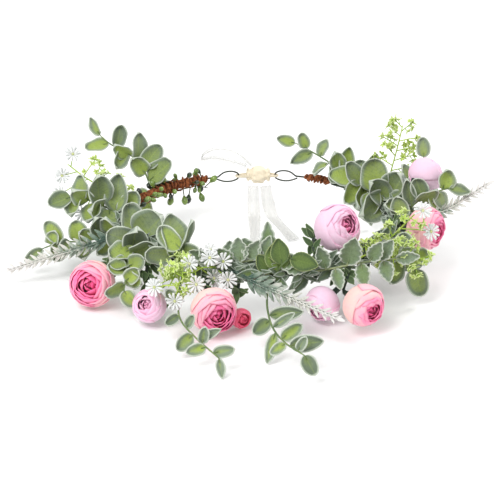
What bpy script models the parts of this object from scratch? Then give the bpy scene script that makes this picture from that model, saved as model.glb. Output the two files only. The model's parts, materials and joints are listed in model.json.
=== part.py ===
"""Flower crown: a taped wire ring dressed with leaf sprigs, roses and daisies, tied with a ribbon.

The ring lies level.  +X is the wearer's left-to-right line as seen from the front, -Y is the front
and +Z is up.  Every sprig, stem and bloom is placed from an angle on the ring (0 at +X, 90 at the
back, 180 at -X, 270 at the front), so all of them follow the ring when its size changes.
"""
import math

import bmesh
import bpy
from mathutils import Matrix, Vector
from mathutils.bvhtree import BVHTree

MM = 0.001

# Ring: an open wire loop, closed at the back by the ribbon.
RING_HALF_WIDTH = 90.0
RING_HALF_DEPTH = 86.0
RING_LIFT = 28.0
WIRE_RADIUS = 0.8
RING_START = 110.0
RING_END = 434.0
RING_STEP = 6.0
EYELET_LENGTH = 15.0
EYELET_HEIGHT = 7.4

# Wraps round the wire.
CLEARANCE = 0.35
SEAT_GAP = 0.8
VINE_RADIUS = 3.4
TAPE_RADIUS = 2.9
WRAP_STEP = 7.5
WRAP_SIDES = 6

# Stems, leaves and blooms.
STEM_RADIUS = 0.75
SPIKE_STEM_RADIUS = 0.7
ROSE_STEM_RADIUS = 1.1
ROSE_COLLAR_RADIUS = 1.9
ROSE_COLLAR_LENGTH = 9.0
PEG_RADIUS = 1.0
LEAF_THICKNESS = 0.9
LEAF_SCALE = 1.0
FOOT_LENGTH = RING_LIFT - 0.6
LEAFLET_THICKNESS = 0.7
TWIG_RADIUS = 0.5
TUFT_RADIUS = 1.8
DAISY_RADIUS = 4.8
BERRY_RADIUS = 2.3
ROSE_SCALE = 1.0

# Ribbon.
KNOT_RADIUS = 6.0
KNOT_HALF_LENGTH = 5.5
LEAD_RADIUS = 0.8
LEAD_SPREAD = 2.1
TAIL_WIDTH = 7.0
RIBBON_THICKNESS = 0.6

# Directions are named as seen from the front and a little above.
SHOW_TILT = math.radians(23.0)
RIGHT = Vector((1.0, 0.0, 0.0))
UP = Vector((0.0, math.sin(SHOW_TILT), math.cos(SHOW_TILT)))
TOWARD = Vector((0.0, -math.cos(SHOW_TILT), math.sin(SHOW_TILT)))
FOOT_LEAN = -math.degrees(SHOW_TILT)

LEAF_GREEN = (0.30, 0.40, 0.26)
PALE_GREEN = (0.55, 0.62, 0.55)
FRESH_GREEN = (0.42, 0.55, 0.16)
DARK_GREEN = (0.05, 0.12, 0.05)
VINE_BROWN = (0.30, 0.12, 0.05)
WIRE_GREEN = (0.03, 0.05, 0.03)
WHITE = (0.85, 0.87, 0.82)
CREAM = (0.86, 0.80, 0.66)
PINK = (0.90, 0.42, 0.48)
HOT_PINK = (0.86, 0.20, 0.32)
LILAC = (0.80, 0.58, 0.70)
CORAL = (0.88, 0.14, 0.18)


# ---------------------------------------------------------------- places and directions

def seen(swing, lean=0.0):
    """Direction at an angle anticlockwise from the right, leaning towards the viewer."""
    turn = math.radians(swing)
    tip = math.radians(lean)
    flat = RIGHT * math.cos(turn) + UP * math.sin(turn)
    return (flat * math.cos(tip) + TOWARD * math.sin(tip)).normalized()


def facing(right, up, toward):
    """Unit direction from its shares to the right, up and towards the viewer."""
    return (RIGHT * right + UP * up + TOWARD * toward).normalized()


def ring_point(angle):
    """Centre of the ring wire at an angle in degrees, in millimetres."""
    turn = math.radians(angle)
    return Vector((RING_HALF_WIDTH * math.cos(turn), RING_HALF_DEPTH * math.sin(turn), RING_LIFT))


def ring_outward(angle):
    """Level direction away from the ring's middle, square to the wire."""
    turn = math.radians(angle)
    out = Vector((math.cos(turn) / RING_HALF_WIDTH, math.sin(turn) / RING_HALF_DEPTH, 0.0))
    return out.normalized()


def seat(angle, clock, radius):
    """Place for a round stem beside the wrap: clock 0 is outside the ring, 90 is on top."""
    away = wrap_radius(angle) + SEAT_GAP + radius
    turn = math.radians(clock)
    return ring_point(angle) + away * (math.cos(turn) * ring_outward(angle) + Vector((0, 0, math.sin(turn))))


def curve_through(points, step):
    """Evenly stepped points on a smooth curve through the given ones."""
    ends = [points[0] * 2 - points[1]] + list(points) + [points[-1] * 2 - points[-2]]
    fine = []
    for before, start, stop, after in zip(ends, ends[1:], ends[2:], ends[3:]):
        count = max(2, int((stop - start).length / (step * 0.25)))
        for i in range(count):
            t = i / count
            fine.append(0.5 * (2 * start + (stop - before) * t
                               + (2 * before - 5 * start + 4 * stop - after) * t * t
                               + (3 * start - before - 3 * stop + after) * t ** 3))
    fine.append(points[-1].copy())
    return resample(fine, step)


def resample(points, step):
    """Points at equal distances along a fine polyline."""
    total = length_of(points)
    count = max(2, round(total / step))
    return [at_distance(points, total * i / count) for i in range(count + 1)]


def length_of(points):
    """Length of a polyline."""
    return sum((b - a).length for a, b in zip(points, points[1:]))


def at_distance(points, distance):
    """Point at a distance along a polyline."""
    left = distance
    for a, b in zip(points, points[1:]):
        run = (b - a).length
        if left <= run:
            return a.lerp(b, left / run)
        left -= run
    return points[-1].copy()


def tangents(points):
    """Unit direction of a polyline at each of its points."""
    result = []
    for i in range(len(points)):
        before = points[max(i - 1, 0)]
        after = points[min(i + 1, len(points) - 1)]
        result.append((after - before).normalized())
    return result


def tube_rings(points, radii, sides, side_hint):
    """Round sections along a path that don't twist about it."""
    normal = side_hint
    rings = []
    for point, along, radius in zip(points, tangents(points), radii):
        normal = (normal - along * normal.dot(along)).normalized()
        other = along.cross(normal)
        ring = []
        for i in range(sides):
            turn = 2 * math.pi * (i + 0.5) / sides
            ring.append(point + radius * (math.cos(turn) * normal + math.sin(turn) * other))
        rings.append(ring)
    return rings


def strap_rings(points, across, width, thickness):
    """Flat sections of a ribbon along a path."""
    rings = []
    for point, along in zip(points, tangents(points)):
        side = (across - along * across.dot(along)).normalized()
        lift = along.cross(side)
        half = side * width / 2
        rise = lift * thickness / 2
        rings.append([point + half + rise, point - half + rise, point - half - rise, point + half - rise])
    return rings


# ---------------------------------------------------------------- growing a closed body

def middle(points):
    """Average of some points."""
    return sum(points, Vector()) / len(points)


def ring_normal(ring):
    """Direction that a ring of corners faces."""
    centre = middle(ring)
    total = Vector()
    for a, b in zip(ring, ring[1:] + ring[:1]):
        total += (a - centre).cross(b - centre)
    return total


def matched(old, new):
    """Corners of the new ring in the order that lines them up with the old ring's corners."""
    start = middle(old)
    goal = middle(new)
    if ring_normal(new).dot(ring_normal(old)) < 0:
        new = list(reversed(new))

    def misfit(shift):
        turned = new[shift:] + new[:shift]
        return sum(((b - goal).normalized() - (a - start).normalized()).length for a, b in zip(old, turned))

    best = min(range(len(new)), key=misfit)
    return new[best:] + new[:best]


class Growth:
    """A closed body made by extruding faces from ring to ring, in millimetres."""

    def __init__(self, ring):
        self.mesh = bmesh.new()
        made = bmesh.ops.create_circle(self.mesh, cap_ends=True, segments=len(ring), radius=1.0)
        self.end = made["verts"][0].link_faces[0]
        for vert, place in zip(self.end.verts, ring):
            vert.co = place

    def extend(self, face, ring):
        """Extrude one face to a new ring and return the moved face."""
        corners = [vert.co.copy() for vert in face.verts]
        made = bmesh.ops.extrude_discrete_faces(self.mesh, faces=[face])
        moved = made["faces"][0]
        for vert, place in zip(moved.verts, matched(corners, ring)):
            vert.co = place
        return moved

    def grow(self, rings):
        """Extrude the end face through rings, returning each stretch's side faces."""
        stretches = []
        for ring in rings:
            self.end = self.extend(self.end, ring)
            sides = [face for edge in self.end.edges for face in edge.link_faces if face is not self.end]
            stretches.append(sides)
        return stretches

    def sprout(self, face, rings):
        """Grow a branch through rings out of a side face."""
        for ring in rings:
            face = self.extend(face, ring)

    def close(self):
        """Fill the open start and turn all faces outwards."""
        bmesh.ops.holes_fill(self.mesh, edges=self.mesh.edges[:], sides=0)
        bmesh.ops.recalc_face_normals(self.mesh, faces=self.mesh.faces[:])


def surface(rings):
    """Search tree of a closed run of rings, for testing clearances."""
    verts = []
    faces = []
    sides = len(rings[0])
    for ring in rings:
        verts.extend(ring)
    for i in range(len(rings) - 1):
        for j in range(sides):
            k = (j + 1) % sides
            faces.append((i * sides + j, i * sides + k, (i + 1) * sides + k, (i + 1) * sides + j))
    faces.append(tuple(range(sides)))
    faces.append(tuple((len(rings) - 1) * sides + j for j in range(sides)))
    return BVHTree.FromPolygons(verts, faces)


OBSTACLES = {}


def note_obstacle(name, mesh):
    """Remember a body so that later leaves keep clear of it."""
    OBSTACLES[name] = BVHTree.FromBMesh(mesh)


def is_clear(tree, own_name):
    """Whether a test surface touches none of the other bodies."""
    return not any(tree.overlap(other) for name, other in OBSTACLES.items() if name != own_name)


# ---------------------------------------------------------------- objects and materials

NODES = []


def material(name, colour, roughness, metallic=0.0):
    """Plain Principled material for one piece."""
    finish = bpy.data.materials.new(name + "_finish")
    finish.use_nodes = True
    shader = finish.node_tree.nodes["Principled BSDF"]
    shader.inputs["Base Color"].default_value = (*colour, 1.0)
    shader.inputs["Roughness"].default_value = roughness
    shader.inputs["Metallic"].default_value = metallic
    finish.diffuse_color = (*colour, 1.0)
    return finish


def make_object(name, mesh, colour, roughness=0.7, pivot=None, guide=False):
    """Turn a mesh in millimetres into an object whose origin is on its pivot."""
    origin = pivot if pivot is not None else Vector()
    bmesh.ops.transform(mesh, matrix=Matrix.Scale(MM, 4) @ Matrix.Translation(-origin), verts=mesh.verts[:])
    data = bpy.data.meshes.new(name)
    mesh.to_mesh(data)
    mesh.free()
    data.shade_smooth()
    data.set_sharp_from_angle(angle=math.radians(50))
    data.materials.append(material(name, colour, roughness))
    piece = bpy.data.objects.new(name, data)
    bpy.context.scene.collection.objects.link(piece)
    piece.location = origin * MM
    if guide:
        piece.hide_render = True
        piece.display_type = "WIRE"
    NODES.append(piece)
    return piece


# ---------------------------------------------------------------- ring and wraps

WRAPS = {
    "vine_wrap_back_left": (115.5, 168.0, VINE_RADIUS, VINE_BROWN),
    "vine_wrap_back_right": (417.0, 429.5, VINE_RADIUS * 0.8, VINE_BROWN),
    "stem_tape_left": (169.0, 232.0, TAPE_RADIUS, DARK_GREEN),
    "stem_tape_front": (233.0, 306.0, TAPE_RADIUS, DARK_GREEN),
    "stem_tape_right": (307.0, 416.0, TAPE_RADIUS, DARK_GREEN),
}


def wrap_radius(angle):
    """Radius of whatever covers the wire at an angle."""
    turn = angle if angle >= 90.0 else angle + 360.0
    for start, stop, radius, _ in WRAPS.values():
        if start <= turn <= stop:
            return radius
    return max(VINE_RADIUS, TAPE_RADIUS)


def eyelet_points(root, along):
    """Route of a wire eyelet from its root, over its tip and back under the wire."""
    half = EYELET_HEIGHT / 2
    up = Vector((0.0, 0.0, 1.0))
    under = 2 * WIRE_RADIUS + CLEARANCE + 0.5
    return [
        root + along * EYELET_LENGTH * 0.30 + up * half * 0.85,
        root + along * EYELET_LENGTH * 0.65 + up * half,
        root + along * EYELET_LENGTH * 0.94 + up * half * 0.6,
        root + along * EYELET_LENGTH,
        root + along * EYELET_LENGTH * 0.94 - up * half * 0.6,
        root + along * EYELET_LENGTH * 0.65 - up * half,
        root + along * EYELET_LENGTH * 0.30 - up * half * 0.95,
        root - along * 1.0 - up * under,
    ]


def eyelet_frame(angle, toward):
    """Root of an eyelet and the direction that it points in."""
    root = ring_point(angle)
    goal = Vector((toward, RING_HALF_DEPTH, RING_LIFT))
    return root, (goal - root).normalized()


def core_wire():
    """The one steel wire: an eyelet, round the ring, and the other eyelet."""
    left_root, left_way = eyelet_frame(RING_START, KNOT_X)
    right_root, right_way = eyelet_frame(RING_END, KNOT_X)
    angles = int((RING_END - RING_START) / RING_STEP)
    ring = [ring_point(RING_START + (RING_END - RING_START) * i / angles) for i in range(angles + 1)]
    left = curve_through([ring[1], ring[0]] + eyelet_points(left_root, left_way), 2.4)
    right = curve_through([ring[-2], ring[-1]] + eyelet_points(right_root, right_way), 2.4)
    route = list(reversed(left)) + ring[2:-2] + right
    rings = tube_rings(route, [WIRE_RADIUS] * len(route), 6, Vector((0, 1, 0)))
    body = Growth(rings[0])
    body.grow(rings[1:])
    body.close()
    note_obstacle("core_wire", body.mesh)
    make_object("core_wire", body.mesh, WIRE_GREEN, 0.5)


def wrap_swell(angle, amount):
    """Slow swelling of a wrapped vine."""
    return 1.0 + amount * math.sin(math.radians(angle * 23.0)) * math.cos(math.radians(angle * 7.0))


def wrap(name, start, stop, radius, colour):
    """A sleeve round the wire with a lumpy outside and a plain bore."""
    count = max(2, round((stop - start) * math.radians(1) * RING_HALF_WIDTH / WRAP_STEP))
    angles = [start + (stop - start) * i / count for i in range(count + 1)]
    points = [ring_point(angle) for angle in angles]
    outer = [radius * wrap_swell(angle, 0.06) * 0.94 for angle in angles]
    inner = [WIRE_RADIUS + CLEARANCE * 1.4] * len(points)
    outer_rings = tube_rings(points, outer, WRAP_SIDES, Vector((0, 0, 1)))
    inner_rings = tube_rings(points, inner, WRAP_SIDES, Vector((0, 0, 1)))
    body = Growth(outer_rings[0])
    body.grow(outer_rings[1:] + list(reversed(inner_rings)))
    bmesh.ops.delete(body.mesh, geom=[body.end], context="FACES_ONLY")
    rims = [edge for edge in body.mesh.edges if edge.is_boundary]
    bmesh.ops.bridge_loops(body.mesh, edges=rims)
    bmesh.ops.recalc_face_normals(body.mesh, faces=body.mesh.faces[:])
    note_obstacle(name, body.mesh)
    make_object(name, body.mesh, colour, 0.9)


# ---------------------------------------------------------------- ribbon

KNOT_X = -2.0


def knot_centre():
    """Middle of the ribbon knot, between the two eyelets."""
    return Vector((KNOT_X, RING_HALF_DEPTH, RING_LIFT))


def spun(profile, steps):
    """Closed body turned from a profile of (radius, height) whose ends lie on the axis."""
    mesh = bmesh.new()
    verts = [mesh.verts.new((radius, 0.0, height)) for radius, height in profile]
    edges = [mesh.edges.new(pair) for pair in zip(verts, verts[1:])]
    bmesh.ops.spin(mesh, geom=verts + edges, cent=(0, 0, 0), axis=(0, 0, 1), angle=2 * math.pi,
                   steps=steps, use_merge=True)
    bmesh.ops.remove_doubles(mesh, verts=mesh.verts[:], dist=1e-4)
    bmesh.ops.recalc_face_normals(mesh, faces=mesh.faces[:])
    return mesh


def lead(name, side, tip):
    """U of ribbon from the knot through an eyelet and back."""
    centre = knot_centre()
    way = (tip - centre).normalized()
    spread = Vector((0, 0, 1)).cross(way).normalized() * LEAD_SPREAD
    reach = (tip - centre).length + WIRE_RADIUS + CLEARANCE + LEAD_RADIUS + 1.2
    inside = KNOT_HALF_LENGTH * 0.5
    points = [centre + way * inside + spread, centre + way * (reach - 2.4) + spread,
              centre + way * reach, centre + way * (reach - 2.4) - spread,
              centre + way * inside - spread]
    route = curve_through(points, 1.8)
    rings = tube_rings(route, [LEAD_RADIUS] * len(route), 6, Vector((0, 0, 1)))
    body = Growth(rings[0])
    body.grow(rings[1:])
    body.close()
    note_obstacle("ribbon_knot_" + side, body.mesh)
    return make_object(name, body.mesh, CREAM, 0.8, guide=True)


def ribbon_knot():
    """The knot with its two leads, joined into one body."""
    radius = KNOT_RADIUS
    half = KNOT_HALF_LENGTH
    profile = [(0, -half), (radius * 0.62, -half), (radius * 0.93, -half * 0.6), (radius, 0.0),
               (radius * 0.93, half * 0.6), (radius * 0.62, half), (0, half)]
    mesh = spun(profile, 14)
    lay = Matrix.Rotation(math.radians(90), 4, "Y")
    bmesh.ops.transform(mesh, matrix=Matrix.Translation(knot_centre()) @ lay, verts=mesh.verts[:])
    note_obstacle("ribbon_knot", mesh)
    knot = make_object("ribbon_knot", mesh, CREAM, 0.8)
    for side, angle in (("left", RING_START), ("right", RING_END)):
        root, way = eyelet_frame(angle, KNOT_X)
        loop = lead("guide_lead_" + side, side, root + way * EYELET_LENGTH)
        union = knot.modifiers.new("join_lead_" + side, "BOOLEAN")
        union.operation = "UNION"
        union.object = loop


def strap(name, points, across, width, pivot=None):
    """A plain ribbon strip along a route."""
    route = curve_through(points, 4.0)
    rings = strap_rings(route, across, width, RIBBON_THICKNESS)
    body = Growth(rings[0])
    body.grow(rings[1:])
    body.close()
    note_obstacle(name, body.mesh)
    make_object(name, body.mesh, CREAM, 0.8, pivot)


def ribbon_loops_and_tails():
    """The bow loop standing off the knot and the two tails that hang from it."""
    centre = knot_centre()
    out = KNOT_RADIUS + CLEARANCE + RIBBON_THICKNESS
    strap("ribbon_bow_loop",
          [centre + Vector((-5, 0, out)), centre + Vector((-14, 1, out + 8)),
           centre + Vector((-26, 2, out + 12)), centre + Vector((-37, 2, out + 9)),
           centre + Vector((-40, 2, out + 4)), centre + Vector((-30, 1, out + 5)),
           centre + Vector((-17, 0, out + 2.5)), centre + Vector((-8.5, -1, out - 0.3))],
          Vector((0, 1, 0)), 8.0)
    floor = RIBBON_THICKNESS / 2 + 0.3 - RING_LIFT
    drop = -(out + 1.6)
    strap("ribbon_tail_a",
          [centre + Vector((-3.5, 0, drop)), centre + Vector((-3.5, -2, -18)),
           centre + Vector((-3.2, -8, floor + 1.0)), centre + Vector((-2.8, -20, floor)),
           centre + Vector((-2.6, -45, floor)), centre + Vector((-2.4, -68, floor))],
          RIGHT, TAIL_WIDTH, centre)
    strap("ribbon_tail_b",
          [centre + Vector((5.2, 0, drop)), centre + Vector((6.5, -2, -17)),
           centre + Vector((9, -8, floor + 1.0)), centre + Vector((12, -18, floor)),
           centre + Vector((18, -36, floor)), centre + Vector((24, -54, floor))],
          RIGHT, TAIL_WIDTH, centre)


# ---------------------------------------------------------------- roses

# name: ring angle, offset of the bloom's centre from the wire, radius, direction, colours.
ROSES = {
    "rose_left": (214.0, (-31, -24, -13.5), 14.0, (-0.16, -0.05, 0.95), PINK, HOT_PINK, True),
    "rose_centre": (250.0, (1, -32, -12.0), 13.5, (0.33, -0.36, 0.80), PINK, HOT_PINK, True),
    "rose_left_bud": (226.0, (-6, -37, -16.0), 10.5, (-0.30, 0.20, 0.85), LILAC, LILAC, False),
    "rose_inner": (302.0, (-2, 13, 19.0), 15.0, (0.55, 0.18, 0.72), LILAC, PINK, True),
    "rose_front_back": (294.0, (0, -16, -16.0), 11.0, (-0.55, -0.50, 0.35), LILAC, LILAC, False),
    "rose_right_front": (309.0, (3, -43, -10.0), 13.0, (0.52, -0.36, 0.72), PINK, HOT_PINK, True),
    "rose_right_top": (4.0, (18, 3, 28.0), 12.0, (0.55, 0.45, -0.30), LILAC, LILAC, False),
    "rose_right": (345.0, (17, -9, 7.0), 13.5, (0.85, -0.28, 0.45), PINK, HOT_PINK, True),
    "rose_small_bud": (258.0, (5, -20, -21.5), 6.0, (0.5, -0.2, 0.8), CORAL, CORAL, False),
}

# Stem of each rose: ring angle and clock of its seat, and where it passes on the way.
ROSE_STEMS = {
    "rose_left": (206.0, -12, (-8, -8, -3)),
    "rose_centre": (249.0, -20, (0, -9, -3)),
    "rose_left_bud": (222.0, -30, (-2, -10, -5)),
    "rose_inner": (293.0, 130, (-3, 3, 8)),
    "rose_front_back": (299.0, -62, (2, -4, -5)),
    "rose_right_front": (303.0, -15, (0, -12, 0)),
    "rose_right_top": (5.0, 62, (3, 0, 7)),
    "rose_right": (337.0, 70, (1, 1, 2)),
    "rose_small_bud": (261.0, -55, (-1, -5, -5)),
}

ROSE_STEPS = 16
HEART_STEPS = 12
BASE_DEPTH = 0.80
RUFFLE_REACH = 1.05
SOCKET_DEPTH = 0.46


def petal_wave(turn, height, amount):
    """Slow lobes round a bloom, like overlapping petals."""
    return 1.0 + amount * (math.cos(3 * turn + height * 2.0) + 0.6 * math.cos(5 * turn - height * 3.0))


def place_bloom(mesh, radius, centre, way):
    """Ruffle a turned bloom and stand it on its stem's line."""
    for vert in mesh.verts:
        turn = math.atan2(vert.co.y, vert.co.x)
        share = min(1.0, vert.co.xy.length / (0.5 * radius))
        wave = 1.0 + (petal_wave(turn, vert.co.z / radius, 0.022) - 1.0) * share ** 2
        vert.co.x *= wave
        vert.co.y *= wave
    stand = way.to_track_quat("Z", "Y").to_matrix().to_4x4()
    bmesh.ops.transform(mesh, matrix=Matrix.Translation(centre) @ stand, verts=mesh.verts[:])


def socket_profile(radius):
    """Blind hole for the peg, from its floor to the bloom's base."""
    hole = PEG_RADIUS + CLEARANCE
    return [(0, -SOCKET_DEPTH * radius), (hole, -SOCKET_DEPTH * radius), (hole, -BASE_DEPTH * radius)]


def rose_cup(radius):
    """Outer petals as a cup with a peg socket under it."""
    wall = [(0.42, -0.78), (0.74, -0.55), (0.94, -0.2), (1.0, 0.15), (0.95, 0.48), (0.84, 0.70),
            (0.74, 0.66), (0.74, 0.2), (0.62, -0.12), (0.34, -0.28), (0.0, -0.30)]
    return spun(socket_profile(radius) + [(r * radius, h * radius) for r, h in wall], ROSE_STEPS)


def rose_heart(radius):
    """Rolled inner petals that stand in the cup."""
    gap = CLEARANCE * 1.6
    wall = [(0.0, -0.30), (0.33, -0.28), (0.60, -0.12), (0.74, 0.2), (0.74, 0.62), (0.62, 0.80),
            (0.36, 0.90), (0.14, 0.80), (0.0, 0.74)]
    points = []
    for r, h in wall:
        inset = max(0.0, r * radius - gap) if r else 0.0
        points.append((inset, h * radius + (gap if h < 0 else 0.0)))
    return spun(points, HEART_STEPS)


def rose_bud(radius):
    """A small closed bloom in one piece."""
    wall = [(0.45, -0.78), (0.80, -0.50), (0.98, -0.1), (1.0, 0.25), (0.88, 0.60), (0.66, 0.78),
            (0.52, 0.70), (0.34, 0.86), (0.0, 0.80)]
    return spun(socket_profile(radius) + [(r * radius, h * radius) for r, h in wall], ROSE_STEPS - 4)


def rose_stem(name, centre, radius, way):
    """Wired stem from the ring to the bloom, with its collar, calyx and peg."""
    angle, clock, passing = ROSE_STEMS[name]
    root = seat(angle, clock, ROSE_STEM_RADIUS)
    base = centre - way * (BASE_DEPTH * radius + CLEARANCE)
    collar = base - way * ROSE_COLLAR_LENGTH
    route = curve_through([root, root + Vector(passing), collar, base], 4.5)
    cut = next(i for i, point in enumerate(route) if (point - collar).length < 3.5)
    route = route[:cut] + [collar, base - way * 4.5, base - way * 2.0, base]
    radii = [ROSE_STEM_RADIUS] * cut
    radii += [ROSE_COLLAR_RADIUS * 0.8, ROSE_COLLAR_RADIUS, radius * 0.2, radius * 0.3]
    rings = tube_rings(route, radii, 6, Vector((0.2, 0.1, 1.0)))
    top = centre - way * (SOCKET_DEPTH * radius + CLEARANCE * 1.3)
    peg = tube_rings([base, top], [PEG_RADIUS] * 2, 6, rings[-1][0] - base)
    body = Growth(rings[0])
    body.grow(rings[1:] + peg)
    body.close()
    note_obstacle(name + "_stem", body.mesh)
    make_object(name + "_stem", body.mesh, DARK_GREEN, 0.7)


def bloom_places():
    """Centre, radius and direction of every bloom, each kept off the ones before it."""
    places = {}
    for name, (angle, offset, size, shares, _, _, _) in ROSES.items():
        way = facing(*shares)
        radius = size * ROSE_SCALE
        centre = ring_point(angle) + Vector(offset) + way * BASE_DEPTH * (radius - size)
        for other_centre, other_radius, _ in places.values():
            apart = centre - other_centre
            room = (radius + other_radius) * RUFFLE_REACH + CLEARANCE
            if apart.length < room:
                centre = other_centre + apart.normalized() * room
        places[name] = (centre, radius, way)
    return places


def rose(name, centre, radius, way):
    """One rose: its stem, its petals and, on a large one, its heart."""
    _, _, _, _, petal_colour, heart_colour, large = ROSES[name]
    rose_stem(name, centre, radius, way)
    cup = rose_cup(radius) if large else rose_bud(radius)
    place_bloom(cup, radius, centre, way)
    note_obstacle(name + "_petals", cup)
    make_object(name + "_petals", cup, petal_colour, 0.8, centre)
    if large:
        heart = rose_heart(radius)
        place_bloom(heart, radius, centre, way)
        note_obstacle(name + "_heart", heart)
        make_object(name + "_heart", heart, heart_colour, 0.8, centre)


# ---------------------------------------------------------------- leafy stems

LEAF_OUTLINE = ((0.10, 0.22, 0.0), (0.36, 0.94, 0.10), (0.72, 0.92, 0.12), (1.0, 0.20, 0.02))
DUSTY_OUTLINE = ((0.10, 0.20, 0.0), (0.40, 1.0, 0.06), (0.72, 0.72, 0.06), (1.0, 0.12, 0.0))
LEAFLET_OUTLINE = ((0.30, 1.0, 0.0), (1.0, 0.35, 0.0))
TURNS = (0, 10, -10, 20, -20, 32, -32, 46, -46, 62, -62, 80, -80, 100, -100, 125, -125, 150, 180)
OPENINGS = (0, 20, 40, -20)
SIZES = (1.0, 0.82, 0.66, 0.5, 0.36)


def blade_rings(base, along, face, length, width, thickness, outline, curl, grown=0.0):
    """Diamond sections of a leaf blade; grown makes a fatter copy for testing clearances."""
    face = (face - along * face.dot(along)).normalized()
    side = along.cross(face)
    rings = []
    for share, breadth, cup in outline:
        bend = curl * length * share * share
        centre = base + along * (length * share) - face * bend
        half = side * (breadth * width / 2 + grown)
        rim = face * (cup * width)
        rise = face * (thickness / 2 + grown)
        rings.append([centre + half + rim, centre + rise, centre - half + rim, centre - rise])
    if grown:
        rings[-1] = [corner + along * grown for corner in rings[-1]]
    return rings


def tries():
    """Ways to shift a leaf, the smallest changes first."""
    ways = []
    for turn in TURNS:
        for opening in OPENINGS:
            for size in SIZES:
                cost = abs(turn) / 10 + abs(opening) / 12 + (1 - size) * 22
                ways.append((cost, turn, opening, size))
    return sorted(ways)


TRIES = tries()


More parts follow.
